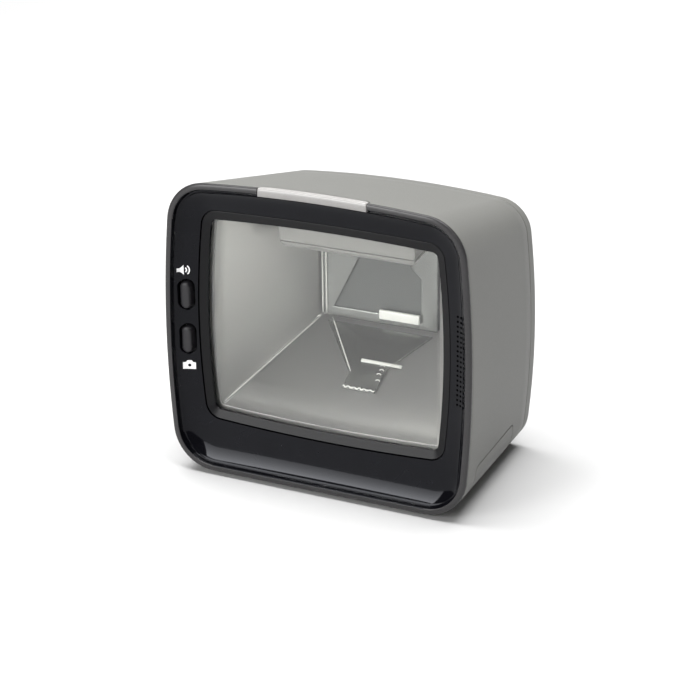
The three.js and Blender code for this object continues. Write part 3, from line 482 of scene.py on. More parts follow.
def window_glass():
    """Clear float glass. Lamps shine through it, so that what is behind it is lit."""
    made, tree, shader, coords = new_material(
        "clear_float_glass", IOR=1.5, Transmission_Weight=1.0, Roughness=0.0)
    clearness = linear("#fbfbfa")
    film = add(tree, "ShaderNodeTexNoise", {"Vector": coords, "Scale": per_mm(12), "Detail": 2.0})
    rough = add(tree, "ShaderNodeMapRange", {"Value": film.outputs["Fac"], "To Min": 0.0, "To Max": 0.012})
    wire(tree, shader, {"Base Color": clearness, "Roughness": rough.outputs["Result"]})
    clear = add(tree, "ShaderNodeBsdfTransparent", {"Color": clearness})
    path = add(tree, "ShaderNodeLightPath")
    either = add(tree, "ShaderNodeMixShader", {
        0: path.outputs["Is Shadow Ray"], 1: shader.outputs["BSDF"], 2: clear.outputs["BSDF"]})
    wire(tree, tree.nodes["Material Output"], {"Surface": either.outputs["Shader"]})
    return made


SHADE_START = 16  # how deep the colour keeps its front brightness before the painted shade darkens it to the rear
SHADE_BY_DEPTH = (1.1, 0.62)  # the painted shade's brightness there and at the funnel's rear
SHADE_SLANT = (1 / 300, 0, 1 / 80)  # the painted shade lightens to the right and, faster, upwards
SHADE_REACH = (0.00015, 0.0011)  # the slant's value where it is darkest and where it is lightest
SHADE_BY_SIDE = (0.33, 1.18)  # its brightness at those two, from painted shade to painted light


def reflector():
    """Aluminised ABS of the light funnel: a soft metallic sheen, with painted shade that darkens it to the
    rear and into the lower left corner, and painted light that brightens it upwards and to the right."""
    made, tree, shader, coords = new_material("aluminised_abs", Metallic=0.8)
    surface(made, tree, shader, coords, "#bfbfbc", spread=0.03, mottle=35, grain=0.8, relief=0.0014,
            roughness=(0.3, 0.36))
    depth = add(tree, "ShaderNodeSeparateXYZ", {"Vector": coords}).outputs["Y"]
    rearward = add(tree, "ShaderNodeMapRange", {
        "Value": depth, "From Min": (FRONT + SHADE_START) * MM, "From Max": (FRONT + FUNNEL_BACK) * MM,
        "To Min": SHADE_BY_DEPTH[0], "To Max": SHADE_BY_DEPTH[1]})
    reach = add(tree, "ShaderNodeVectorMath", {0: coords, 1: SHADE_SLANT}, operation="DOT_PRODUCT")
    sideways = add(tree, "ShaderNodeMapRange", {
        "Value": reach.outputs["Value"], "From Min": SHADE_REACH[0], "From Max": SHADE_REACH[1],
        "To Min": SHADE_BY_SIDE[0], "To Max": SHADE_BY_SIDE[1]})
    # film is painted light and shade: it darkens the colour to the rear and into the lower left corner, and
    # lightens it upwards and to the right
    film = add(tree, "ShaderNodeMath", {0: rearward.outputs["Result"], 1: sideways.outputs["Result"]},
               operation="MULTIPLY")
    full = shader.inputs["Base Color"].links[0].from_socket
    shaded = add(tree, "ShaderNodeVectorMath", {0: full, "Scale": film.outputs[0]}, operation="SCALE")
    wire(tree, shader, {"Base Color": shaded.outputs["Vector"]})
    return made


def circuit_board():
    """Green solder mask over glass laminate, with copper traces that show as lighter lines."""
    made, tree, shader, coords = new_material("solder_mask_fr4", IOR=1.5, Roughness=0.3)
    brick = add(tree, "ShaderNodeTexBrick", {
        "Vector": coords, "Scale": per_mm(6), "Mortar Size": 0.02,
        "Color1": linear("#1c4f34"), "Color2": linear("#205a3b"), "Mortar": linear("#3a7a52")})
    bump = add(tree, "ShaderNodeBump", {
        "Height": brick.outputs["Fac"], "Distance": 0.03 * MM, "Strength": 0.4})
    wire(tree, shader, {"Base Color": brick.outputs["Color"], "Normal": bump.outputs["Normal"]})
    return made


def zinc_plated_steel():
    """Zinc-plated steel: bright grey with drawing marks."""
    made, tree, shader, coords = new_material("zinc_plated_steel", Metallic=1.0)
    zinc = linear("#b9bab8")
    stretch = add(tree, "ShaderNodeMapping", {"Vector": coords, "Scale": (1, 12, 12)})
    streak = add(tree, "ShaderNodeTexNoise", {
        "Vector": stretch.outputs["Vector"], "Scale": per_mm(4), "Detail": 3.0})
    tint = add(tree, "ShaderNodeMix", {
        "Factor": streak.outputs["Fac"], TINT_A: tuple(c * 0.85 for c in zinc[:3]) + (1.0,), TINT_B: zinc},
        data_type="RGBA")
    rough = add(tree, "ShaderNodeMapRange", {
        "Value": streak.outputs["Fac"], "To Min": 0.26, "To Max": 0.38})
    wire(tree, shader, {"Base Color": tint.outputs[TINTED], "Roughness": rough.outputs["Result"]})
    return made


def paper_cone():
    """Pressed paper cone and woven dust mesh of the speaker."""
    made, tree, shader, coords = new_material("woven_dust_mesh", IOR=1.5, Roughness=0.85)
    weave = add(tree, "ShaderNodeTexChecker", {
        "Vector": coords, "Scale": per_mm(0.4), "Color1": linear("#161616"), "Color2": linear("#2a2a2a")})
    bump = add(tree, "ShaderNodeBump", {"Height": weave.outputs["Fac"], "Distance": 0.05 * MM})
    wire(tree, shader, {"Base Color": weave.outputs["Color"], "Normal": bump.outputs["Normal"]})
    return made


def coated_lens():
    """Lens glass with a violet anti-reflection coating."""
    made, tree, shader, _ = new_material("coated_lens_glass", IOR=1.6, Roughness=0.02)
    facing = add(tree, "ShaderNodeLayerWeight", {"Blend": 0.4})
    tint = add(tree, "ShaderNodeMix", {
        "Factor": facing.outputs["Facing"], TINT_A: linear("#1b1730"), TINT_B: linear("#3d2f5c")},
        data_type="RGBA")
    wire(tree, shader, {"Base Color": tint.outputs[TINTED]})
    return made


# A moulded grain is really about 0.1 mm wide. It is drawn at 0.2 to 0.5 mm, as coarse as it needs to show.
FINISHES = {
    # moulded with a fine spark-eroded texture: a satin warm grey that takes soft light
    "housing_plastic": even(
        "spark_eroded_pc_abs", "#737370", dict(IOR=1.53, Specular_IOR_Level=0.18), spread=0.03, mottle=45,
        grain=0.45, relief=0.03, roughness=(0.42, 0.5)),
    # from a mirror-finished mould: deep black with clear, faintly wavy reflections
    "gloss_black": even(
        "polished_black_pc_abs", ("#08080b", "#0d0d11"),
        dict(IOR=1.53, Specular_IOR_Level=0.13, Specular_Tint=(0.92, 0.94, 1.0, 1.0)),
        mottle=9, detail=1.0, grain=0.5, relief=0.05, strength=0.12, wavy=True, roughness=(0.05, 0.09)),
    # etched: a fine matt grain that blurs reflections
    "satin_black": even(
        "etched_black_abs", "#0e0e10", dict(IOR=1.53, Specular_IOR_Level=0.16), mottle=20, grain=0.3,
        relief=0.02, roughness=(0.32, 0.42)),
    # soft-touch lacquer: charcoal with a broad, dim highlight
    "button_plastic": even(
        "soft_touch_charcoal", "#1d1c1f", dict(IOR=1.5, Specular_IOR_Level=0.34), mottle=6, grain=0.25,
        relief=0.02, roughness=(0.36, 0.44)),
    # moulded rubber: matt black with moulding bloom
    "rubber": even(
        "nitrile_rubber", "#1c1c1c", dict(IOR=1.52), spread=0.2, mottle=3, grain=0.3, relief=0.03,
        roughness=(0.75, 0.9)),
    "window": window_glass(),
    # frosted over the status lamps: milky with a satin skin
    "frosted_diffuser": even(
        "frosted_polycarbonate", "#8b8987", dict(IOR=1.58), spread=0.03, mottle=8, grain=0.3, relief=0.015,
        roughness=(0.25, 0.35)),
    # edge-lit light pipe: bright, and milky at its sanded faces; it also colours the painted highlight
    # beads in the funnel
    "clear_acrylic": even(
        "sanded_acrylic", "#c6c7c2", dict(IOR=1.49), spread=0.02, mottle=4, grain=0.3, relief=0.01,
        roughness=(0.2, 0.35)),
    "reflector": reflector(),
    # front-aluminised mirror with a little haze
    "mirror": even(
        "aluminised_acrylic", "#747673", dict(Metallic=0.9), spread=0.02, mottle=20, grain=1.2,
        relief=0.0006, roughness=(0.14, 0.2)),
    # smoked pane in front of the camera: dark and clear
    "smoked_pane": even(
        "smoked_acrylic", "#3e413f", dict(IOR=1.49), mottle=20, grain=1, relief=0.002,
        roughness=(0.08, 0.14)),
    "circuit_board": circuit_board(),
    # undyed moulding of the inner parts: dull black
    "inner_plastic": even(
        "black_nylon", "#222222", dict(IOR=1.53), mottle=10, grain=0.4, relief=0.02, roughness=(0.5, 0.62)),
    "speaker_paper": paper_cone(),
    "lens_glass": coated_lens(),
    # polished silicon: near black and sharp
    "sensor": even(
        "silicon_die", "#2a2f3a", {}, mottle=5, grain=0.4, relief=0.01, roughness=(0.1, 0.18)),
    # polyimide laminate: amber with a satin skin
    "flex_film": even(
        "polyimide_film", "#a5622a", {}, mottle=5, grain=0.4, relief=0.01, roughness=(0.25, 0.33)),
    "steel": zinc_plated_steel(),
    # turned metal: yellow, with a soft cut
    "brass": even(
        "turned_brass", "#b48f4c", dict(Metallic=1.0), mottle=5, grain=0.4, relief=0.01,
        roughness=(0.28, 0.36)),
}

# the bezel's outer lip, which is left at a finer grind than the polished dish
SATIN_RIM = even(
    "fine_ground_black_pc_abs", "#333233", dict(IOR=1.53, Specular_IOR_Level=0.26), mottle=12, grain=0.5,
    relief=0.004, roughness=(0.2, 0.28))
# the unlit lamp cover above the chamber: a dull grey-white
OPAL = even(
    "opal_acrylic", "#7c7c79", dict(IOR=1.49, Specular_IOR_Level=0.3), spread=0.03, mottle=10, grain=0.4,
    relief=0.01, roughness=(0.35, 0.45))
# pad-printed: opaque white, with the slight unevenness of a printed film
SIGN_INK = even(
    "white_pad_print_ink", "#f2f2f2", dict(IOR=1.5), spread=0.03, mottle=2, grain=0.2, relief=0.004,
    roughness=(0.5, 0.6))


def coat(piece, material):
    """Gives a piece one material in place of any it has."""
    piece.data.materials.clear()
    piece.data.materials.append(material)


def paint(piece, slot):
    """Gives a piece the one finish that a record's slot names."""
    coat(piece, FINISHES[slot])
    for face in piece.data.polygons:
        face.material_index = 0
    return piece


def stand_in(piece, slot, body, *nodes):
    """A finer mesh that stands for CAD nodes and moves with their body."""
    paint(piece, slot)
    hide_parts(*nodes)
    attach(piece, body)
    return piece


for part in frame["record"]["subparts"]:
    coat(frame["nodes"][part["node"]], FINISHES[part["material_slot"]])


# ---------------------------------------------------------------- housing

LIGHT_ROOM = 12  # how far down from the top the status light's notch reaches
GROOVE_SIZE = 0.42
SEAM_ROLL = ((0.3, 0), (0.07, 0.09), (0, 0.28))  # depth from the rear seam and inset of its rounded edge
FRONT_ROLL = ((0, 0.22), (0.06, 0.08), (0.22, 0))  # the same behind the bezel's rim
POCKET_WALL, POCKET_END, POCKET_RAMP = 1.6, 7, 0.6  # the thinner wall around the bezel, and its step
CORNER_STEPS = 10
ROOT = 0.5  # how far the base cover's pad and posts reach into its wall
BASE_STOCK = 3  # how far the base cover's rings run past its opening, before it is cut to fit
COVER_ROLL = ((0, 7), (1.5, WALL + 2))  # depth and inset of the rear cover's inner corner
REAR_INSETS = (8, 16, 30)


def notch_block():
    """The room of the status light in plan, with rounded corners at its rear."""
    half = LIGHT_HALF + GAP
    rear = LIGHT_DEPTH + GAP
    turn = LIGHT_TURN
    plan = [(-half, -LIP_REACH - OVERCUT), (half, -LIP_REACH - OVERCUT)]
    plan += circle(half - turn, rear - turn, turn, CORNER_STEPS, 0, math.pi / 2)
    plan += circle(turn - half, rear - turn, turn, CORNER_STEPS, math.pi / 2, math.pi)
    rings = [np.array([(x, y, z) for x, y in plan]) for z in (HEIGHT - LIGHT_ROOM, HEIGHT + OVERCUT)]
    return skin("notch", rings)


def light_notch():
    front, rear = -LIP_REACH - 2 * OVERCUT, LIGHT_DEPTH + 2 * OVERCUT
    core = skin("core", body_rings(front, rear, LIGHT_THICKNESS + GAP, 3))
    return boolean(notch_block(), "DIFFERENCE", core)


def base_region(name, margin):
    """The base cover's room: a slice across the body with round upper corners."""
    y0, y1, top = BASE_START + margin, BASE_END - margin, BASE_TOP - margin
    radius = BASE_CORNER
    side = [(y0, -BELOW - 2 * OVERCUT), (y1, -BELOW - 2 * OVERCUT)]
    side += circle(y1 - radius, top - radius, radius, CORNER_STEPS, 0, math.pi / 2)
    side += circle(y0 + radius, top - radius, radius, CORNER_STEPS, math.pi / 2, math.pi)
    rings = [np.array([(x, y, z) for y, z in side]) for x in (-WIDTH, WIDTH)]
    return skin(name, rings)


def side_x(y, z):
    """Half the body's width at a depth and a height, below its widest place."""
    points = outline(body_shape(y))
    half = points[:len(points) // 2 + 1]
    low = half[:int(np.argmax(half[:, 0])) + 1]
    return float(np.interp(z, low[:, 1], low[:, 0]))


def seam_path():
    """The parting line of the base cover on the body's surface, as a loop of points."""
    radius = BASE_CORNER
    top = BASE_TOP - GAP / 2
    loops = []
    for y, turn in ((BASE_START + GAP / 2, 1), (BASE_END - GAP / 2, -1)):
        points = outline(body_shape(y))
        half = points[:len(points) // 2]
        up = [(x, y, z) for x, z in half if z < top - radius - 0.3]
        bend = []
        for a in np.linspace(0, math.pi / 2, 9):
            depth = y + turn * radius * (1 - math.cos(a))
            height = top - radius + radius * math.sin(a)
            bend.append((side_x(depth, height), depth, height))
        loops.append(up + bend)
    front, rear = loops
    along = [(side_x(y, top), y, top) for y in np.linspace(front[-1][1], rear[-1][1], 24)[1:-1]]
    right = front + along + rear[::-1]
    left = [(-x, y, z) for x, y, z in reversed(right[1:-1])]
    return np.array(right + left)


def surface_normals(path):
    """Outward directions of the body at points on it, from the slope of its outline."""
    normals = []
    for x, y, z in path:
        points = outline(body_shape(y))
        near = int(np.argmin(((points - (x, z)) ** 2).sum(axis=1)))
        ahead, behind = points[(near + 1) % len(points)], points[near - 1]
        run = ahead - behind
        normals.append(Vector((run[1], 0, -run[0])).normalized())
    return normals


def vee_groove(name, path, normals, size):
    """A square section on its corner, swept along a loop on the surface."""
    rings = []
    count = len(path)
    for i in range(count):
        tangent = Vector(path[(i + 1) % count] - path[i - 1]).normalized()
        normal = (normals[i] - tangent * normals[i].dot(tangent)).normalized()
        across = tangent.cross(normal)
        centre = Vector(path[i])
        corners = (normal, across, -normal, -across)
        rings.append(np.array([centre + corner * size for corner in corners]))
    return skin(name, rings, closed=True)


def pin(x, y, z, radius, length, axis=(0, 0, 1)):
    """A plain cylinder that starts at a point of the body frame and runs along an axis."""
    return lathe("pin", [(radius, 0), (radius, length)], (x, y, z), axis, 40)


def sinks(places, size):
    """Round cutters that go into the base from below, to a depth."""
    radius, depth = size
    return [pin(x, y, -BELOW, radius, BELOW + depth) for x, y in places]


def seam_groove():
    path = seam_path()
    return vee_groove("groove", path, surface_normals(path), GROOVE_SIZE)


def foot_places():
    """Where the four feet stand, in the body frame."""
    middles = [sum(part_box(name), Vector()) / 2 / MM for name in FEET]
    return [(middle.x, middle.y - FRONT) for middle in middles]


def make_housing():
    start = RIM_DEPTH + GAP
    rings = [body_ring(start + depth, inset) for depth, inset in FRONT_ROLL]
    rings += body_rings(start + 2, REAR_SEAM - SEAM_ROLL[0][0], 0, 12)
    rings += [body_ring(REAR_SEAM - depth, inset) for depth, inset in SEAM_ROLL[1:]]
    rings += [body_ring(REAR_SEAM, WALL), body_ring(POCKET_END + POCKET_RAMP, WALL)]
    rings += [body_ring(POCKET_END, POCKET_WALL), body_ring(start, POCKET_WALL)]
    housing = skin("main_housing_fine", rings, closed=True)
    groove = seam_groove()
    seats = sinks(foot_places(), FOOT_SEAT)
    return boolean(housing, "DIFFERENCE", base_region("opening", 0), groove, light_notch(), *seats)


def make_base_cover():
    front, rear = BASE_START - BASE_STOCK, BASE_END + BASE_STOCK
    rings = body_rings(front, rear, 0, 12) + body_rings(rear, front, WALL, 4)
    cover = skin("base_cover_fine", rings, closed=True)
    groove = seam_groove()
    boolean(cover, "INTERSECT", base_region("region", GAP))
    rooted = WALL - ROOT
    half_x, half_y = PAD_HALF
    pad = block("pad", (-half_x, half_x), (PAD_Y - half_y, PAD_Y + half_y), (-PAD_HEIGHT, rooted))
    inserts = [(x, PAD_Y) for x in INSERT_X]
    posts = [pin(x, y, rooted, radius, top - rooted)
             for places, (radius, top) in ((BASE_SCREWS, SCREW_POST), (inserts, INSERT_POST))
             for x, y in places]
    boolean(cover, "UNION", pad, *posts)
    holes = sinks(BASE_SCREWS, SCREW_SINK) + sinks(BASE_SCREWS, SCREW_HOLE) + sinks(inserts, INSERT_HOLE)
    return boolean(cover, "DIFFERENCE", groove, *holes)


def make_rear_cover():
    start = REAR_SEAM + GAP
    inner = REAR_FACE - WALL
    rings = [body_ring(inner - depth, inset) for depth, inset in COVER_ROLL] + [body_ring(start, WALL)]
    rings += [body_ring(start + depth, inset) for depth, inset in reversed(SEAM_ROLL)]
    rings += body_rings(start + 1, TAPER, 0, 3)
    for a in np.linspace(0, math.pi / 2, 12)[1:]:
        rings.append(body_ring(TAPER + CROWN_DEPTH * math.sin(a), CROWN_INSET * (1 - math.cos(a))))
    rings += [body_ring(REAR_FACE, inset) for inset in REAR_INSETS]
    cover = skin("rear_cover_fine", rings)
    low, high = inner - OVERCUT, REAR_FACE + OVERCUT
    cuts = [block("port", (x - width / 2 - GAP, x + width / 2 + GAP), (low, high),
                  (SOCKET_BASE - GAP, SOCKET_BASE + height + GAP)) for x, width, height in SOCKETS]
    cuts += [pin(x, high, z, radius, depth + OVERCUT, (0, -1, 0))
             for radius, depth in ((SCREW_SINK[0], REAR_SINK_DEPTH), (SCREW_HOLE[0], REAR_HOLE_DEPTH))
             for x, z in REAR_SCREWS]
    return boolean(cover, "DIFFERENCE", *cuts)


stand_in(make_housing(), "housing_plastic", BODY, "main_housing")
stand_in(make_base_cover(), "housing_plastic", BODY, "base_cover")
stand_in(make_rear_cover(), "housing_plastic", BODY, "rear_cover")


# ---------------------------------------------------------------- bezel and window

# depth and inset of each ring, round the lip and down into the groove inside it
LIP_PROFILE = [
    (-LIP_REACH, 2.55), (-LIP_REACH * 0.98, 2.1), (-LIP_REACH * 0.93, 1.5), (-LIP_REACH * 0.8, 0.95),
    (-LIP_REACH * 0.55, 0.5), (-LIP_REACH * 0.22, 0.2), (0.2, 0.05), (0.6, 0), (RIM_DEPTH - 0.12, 0),
    (RIM_DEPTH - 0.02, 0.08), (RIM_DEPTH, 0.2)]
GROOVE_PROFILE = [
    (-LIP_REACH * 0.96, 2.7), (-LIP_REACH * 0.85, 2.84), (-LIP_REACH * 0.6, 2.95), (-0.1, 3.02),
    (1.6, GROOVE_INSET), (2.05, 3.3), (2.3, 3.6), (2.4, 3.9)]
PANEL_ROLL = ((0.04, -0.06), (0.14, -0.12), (BEZEL_THICKNESS, -0.12))  # the dish's edge at the window frame
RIM_INSET = 1.9
BACK_SHARES, BACK_INSET = (0.35, 0), 3.4  # the bezel's rear face, along the dish and at its outer wall
RIM_BAND = 3.0  # how wide the satin rim is, from the outline inwards
# how much each ring of a button's well stands out from its opening, and its depth behind the dish
WELL_ROLL = ((0.36, -0.5), (0.36, -0.02), (0.2, 0.04), (0.08, 0.12), (0.02, 0.22), (0, 0.36))
WELL_END = 12
RAY_START = -10  # in front of the lip


def make_bezel():
    rings = [body_ring(DISH_END, RIM_INSET), body_ring(RIM_DEPTH, RIM_INSET)]
    rings += [body_ring(y, inset) for y, inset in LIP_PROFILE[::-1] + GROOVE_PROFILE]
    rings += [dish_ring(share) for share in DISH_SHARES]
    rings += [ring(PANEL, DISH_END + depth, grow) for depth, grow in PANEL_ROLL]
    rings += [dish_ring(share, BEZEL_THICKNESS) for share in BACK_SHARES]
    rings.append(body_ring(DISH_END, BACK_INSET))
    return skin("front_bezel_fine", rings, closed=True, angle=40)


FRONT_LINE = outline(FRONT_SHAPE)


def front_band(x, z):
    """How far a point is from the widest front outline."""
    return float(np.sqrt(((FRONT_LINE - (x, z)) ** 2).sum(axis=1)).min())


def ray_tree(piece):
    bm = bmesh.new()
    bm.from_mesh(piece.data)
    tree = BVHTree.FromBMesh(bm)
    bm.free()
    return tree


def front_of(tree, x, z):
    """The depth at which a line along y first meets a piece."""
    start = Vector(place([(x, RAY_START, z)])[0])
    hit = tree.ray_cast(start, Vector((0, 1, 0)))[0]
    return hit.y / MM - FRONT


def button_cutter(tree, z):
    """A pill-shaped hole whose edge is rounded where it meets the dish."""
    rings = []
    for grow, sink in WELL_ROLL:
        points = pill_ring(BUTTON_X, z, *BUTTON_SIZE, 0, BUTTON_CLEARANCE + grow)
        points[:, 1] = [front_of(tree, x, height) + sink for x, _, height in points]
        rings.append(points)
    rings.append(pill_ring(BUTTON_X, z, *BUTTON_SIZE, WELL_END, BUTTON_CLEARANCE))
    return skin("button_cutter", rings)


def new_pattern(name, **inputs):
    """A Geometry Nodes tree with named inputs, and a material besides. Returns the tree and its inputs."""
    tree = bpy.data.node_groups.new(name, "GeometryNodeTree")
    for key, kind in {**inputs, "Material": "Material"}.items():
        tree.interface.new_socket(key.replace("_", " "), in_out="INPUT", socket_type="NodeSocket" + kind)
    tree.interface.new_socket("Geometry", in_out="OUTPUT", socket_type="NodeSocketGeometry")
    return tree, add(tree, "NodeGroupInput").outputs


def end_pattern(tree, given, copies):
    """Makes the copies real and gives them their material."""
    real = add(tree, "GeometryNodeRealizeInstances", {"Geometry": copies.outputs["Instances"]})
    coated = add(tree, "GeometryNodeSetMaterial", {
        "Geometry": real.outputs["Geometry"], "Material": given["Material"]})
    add(tree, "NodeGroupOutput", {"Geometry": coated.outputs["Geometry"]})
    return tree


def perforations():
    """Geometry Nodes that set out the grille's holes as a grid of rods."""
    tree, given = new_pattern("grille_holes", Columns="Int", Rows="Int", Pitch_X="Float", Pitch_Z="Float",
                              Diameter="Float", Length="Float", Centre="Vector")

    def span(count, pitch):
        less = add(tree, "ShaderNodeMath", {0: count, 1: 1.0}, operation="SUBTRACT")
        return add(tree, "ShaderNodeMath", {0: less.outputs[0], 1: pitch}, operation="MULTIPLY").outputs[0]

    grid = add(tree, "GeometryNodeMeshGrid", {
        "Size X": span(given["Columns"], given["Pitch X"]), "Size Y": span(given["Rows"], given["Pitch Z"]),
        "Vertices X": given["Columns"], "Vertices Y": given["Rows"]})
    forwards = (math.pi / 2, 0, 0)
    upright = add(tree, "GeometryNodeTransform", {
        "Geometry": grid.outputs["Mesh"], "Translation": given["Centre"], "Rotation": forwards})
    radius = add(tree, "ShaderNodeMath", {0: given["Diameter"], 1: 0.5}, operation="MULTIPLY")
    hole = add(tree, "GeometryNodeMeshCylinder", {
        "Vertices": 16, "Radius": radius.outputs[0], "Depth": given["Length"]})
    copies = add(tree, "GeometryNodeInstanceOnPoints", {
        "Points": upright.outputs["Geometry"], "Instance": hole.outputs["Mesh"], "Rotation": forwards})
    return end_pattern(tree, given, copies)


def grown(name, tree, values, seed_points=((0, 0, 0),)):
    """A plain mesh that a Geometry Nodes tree makes from a few points."""
    piece = put(name, raw_mesh(name, seed_points))
    step = piece.modifiers.new("pattern", "NODES")
    step.node_group = tree
    for item in tree.interface.items_tree:
        if item.in_out == "INPUT" and item.name in values:
            step[item.identifier] = values[item.name]
    return finished(piece)


def grille_cutter():
    centre = place([(GRILLE_X, GRILLE_DEPTH, GRILLE_Z)])[0]
    return grown("grille_cutter", perforations(), {
        "Columns": GRILLE_COUNT[0], "Rows": GRILLE_COUNT[1], "Pitch X": GRILLE_PITCH[0] * MM,
        "Pitch Z": GRILLE_PITCH[1] * MM, "Diameter": GRILLE_HOLE * MM, "Length": GRILLE_REACH * MM,
        "Centre": tuple(centre), "Material": FINISHES["gloss_black"]})


bezel = make_bezel()
bezel_rays = ray_tree(bezel)
wells = [button_cutter(bezel_rays, z) for z in (VOLUME_Z, IMAGE_Z)]
boolean(bezel, "DIFFERENCE", light_notch(), *wells, grille_cutter(), angle=40)
stand_in(bezel, "gloss_black", BODY, "front_bezel")
bezel.data.materials.append(SATIN_RIM)
for face in bezel.data.polygons:
    spot = face.center / MM
    if spot.y - FRONT < RIM_DEPTH + 0.1 and front_band(spot.x, spot.z - FLOOR) < RIM_BAND:
        face.material_index = 1


# depth and inset of the window frame's rounded edges, beside the bezel and around the glass
FRAME_ROLL = ((0.5, 0), (0.2, 0.05), (0.06, 0.16), (0, 0.34))
GLASS_ROLL = ((0, -0.3), (0.08, -0.12), (0.25, -0.03), (0.5, 0))


def make_window_frame():
    rings = [ring(PANEL, FRAME_BACK, GAP)]
    rings += [ring(PANEL, FRAME_FRONT + depth, GAP + inset) for depth, inset in FRAME_ROLL]
    inner = [ring(APERTURE, APERTURE_FRONT + depth, inset) for depth, inset in GLASS_ROLL]
    rings += [mix(rings[-1], inner[0], share) for share in (0.25, 0.5, 0.75)]
    return skin("window_frame_fine", rings + inner + [ring(APERTURE, FRAME_BACK)], closed=True)


stand_in(make_window_frame(), "satin_black", BODY, "window_frame")


LIGHT_EDGE = 0.45  # how wide the status light's rounded border is
LIGHT_SINK = 0.6  # the share of its height that the border falls
LIGHT_SKIN = 1.6  # how thick the status light is
TURN_DEPTH = 0.4  # where its skin turns from the lip to the top
OVER_LIP, OVER_TOP = (0.9, -0.4), (0.1, -1)  # which way is into the body there, in depth and height


def graded(low, high, edge, fine, coarse):
    """Values from low to high that lie closer together within edge of either end."""
    return np.unique(np.concatenate([
        np.linspace(low, low + edge, fine), np.linspace(low + edge, high - edge, coarse),
        np.linspace(high - edge, high, fine)]))


def make_status_light():
    """The frosted bar, drawn as a grid over the lip and the top with a rounded border."""
    edge = LIGHT_EDGE
    columns = graded(-LIGHT_HALF, LIGHT_HALF, edge, 6, 60)
    shares = graded(0, 1, 0.05, 5, 40)
    section = [(-LIP_REACH + 0.02, LIGHT_THICKNESS), (-LIP_REACH, 3.2), (-LIP_REACH, 2.84)]
    section += LIP_PROFILE[:8] + [(y, 0) for y in (1.2, 2.4, 3.6, LIGHT_DEPTH - edge, LIGHT_DEPTH)]
    lengths = np.concatenate([[0], np.cumsum([math.dist(a, b) for a, b in zip(section, section[1:])])])
    top = []
    for x in columns:
        over = max(abs(x) - (LIGHT_HALF - LIGHT_TURN), 0)
        rear = LIGHT_DEPTH - (LIGHT_TURN - math.sqrt(max(LIGHT_TURN ** 2 - over ** 2, 0)))
        total = lengths[-1] - (LIGHT_DEPTH - rear)
        for share in shares:
            at = share * total
            y, inset = (float(np.interp(at, lengths, [p[k] for p in section])) for k in (0, 1))
            border = min(at, total - at, LIGHT_HALF - abs(x))
            sink = edge - math.sqrt(max(edge ** 2 - max(edge - border, 0) ** 2, 0))
            shape = body_shape(y)
            radius = bow_radius(shape["width"], shape["top"])
            height = shape["base"] + shape["height"] - radius + math.sqrt((radius - inset) ** 2 - x ** 2)
            back, up = OVER_LIP if y < -0.2 else OVER_TOP
            top.append((x, y + back * sink * LIGHT_SINK, height + up * sink * LIGHT_SINK))
    under = [(x, max(y, -LIP_REACH) + (LIGHT_SKIN if y < TURN_DEPTH else 0),
              height - (LIGHT_SKIN if y >= TURN_DEPTH else 0)) for x, y, height in top]
    rows, count = len(shares), len(columns)
    shift = count * rows
    faces = []
    for i in range(count - 1):
        for j in range(rows - 1):
            a, d = i * rows + j, (i + 1) * rows + j
            faces += [(a, a + 1, d + 1, d), (a + shift, d + shift, d + 1 + shift, a + 1 + shift)]
    border = [i * rows for i in range(count)] + [(count - 1) * rows + j for j in range(1, rows)]
    border += [i * rows + rows - 1 for i in range(count - 2, -1, -1)] + list(range(rows - 2, 0, -1))
    faces += [(a, b, b + shift, a + shift) for a, b in zip(border, border[1:] + border[:1])]
    return new_object("status_light_fine", np.array(top + under), faces)


stand_in(make_status_light(), "frosted_diffuser", BODY, "status_light")


# how far each ring of a cap is drawn in, and its depth behind the cap's face
CAP_ROLL = ((0, 4.8), (0, 1.1), (0.06, 0.75), (0.2, 0.45), (0.45, 0.22), (0.8, 0.1), (1.3, 0.03), (2.0, 0))
CAP_PLAY = 0.2
FLANGE_SPAN, FLANGE_GROW = (9.3, 10.7), 3.8
COLLAR_SPAN = (7.0, 10.0)


def make_button(name, z):
    width, height = BUTTON_SIZE
    size = (width - CAP_PLAY, height - CAP_PLAY)
    cap = skin(name + "_cap", [pill_ring(BUTTON_X, z, *size, BUTTON_FRONT + depth, -sink)
                               for sink, depth in CAP_ROLL])
    flange = [pill_ring(BUTTON_X, z, width + GAP, height + FLANGE_GROW, depth) for depth in FLANGE_SPAN]
    collar = [pill_ring(BUTTON_X, z, *size, depth) for depth in COLLAR_SPAN]
    return boolean(cap, "UNION", skin("flange", flange), skin("collar", collar))


for name, z in (("volume", VOLUME_Z), ("image", IMAGE_Z)):
    stand_in(make_button(name, z), "button_plastic", name + "_key", name + "_button")


# ---------------------------------------------------------------- light funnel and what is in it

def funnel_ring(share):
    """The funnel's inner wall, from its mouth to its rear."""
    return mix(ring(APERTURE, MOUTH, FUNNEL_LIP), ring(CHAMBER, FUNNEL_BACK), share)


def make_funnel():
    back = FLANGE_FRONT + FLANGE_THICKNESS
    rings = [ring(APERTURE, FLANGE_FRONT, FUNNEL_LIP), ring(PANEL, FLANGE_FRONT, GAP)]
    rings += [ring(PANEL, back, GAP), ring(APERTURE, back, -FUNNEL_WALL)]
    rings += [ring(CHAMBER, FUNNEL_BACK, -FUNNEL_WALL)]
    rings += [funnel_ring(share) for share in np.linspace(0, 1, 12)[::-1]]
    return skin("light_funnel_fine", rings, closed=True)


stand_in(make_funnel(), "reflector", BODY, "light_funnel")
SOFT_EDGES = {
    "floor_mirror": 0.3, "rear_mirror": 0.3, "floor_light_pipe": 0.25, "rear_light_pipe": 0.4,
    "top_light_box": 0.5, "top_light_diffuser": 0.5,
}
for name, width in SOFT_EDGES.items():
    slot = next(p["material_slot"] for p in frame["record"]["subparts"] if p["node"] == name)
    piece = paint(soften(name, width), slot)
    if name.startswith("top_light"):
        piece.data.materials[0] = OPAL
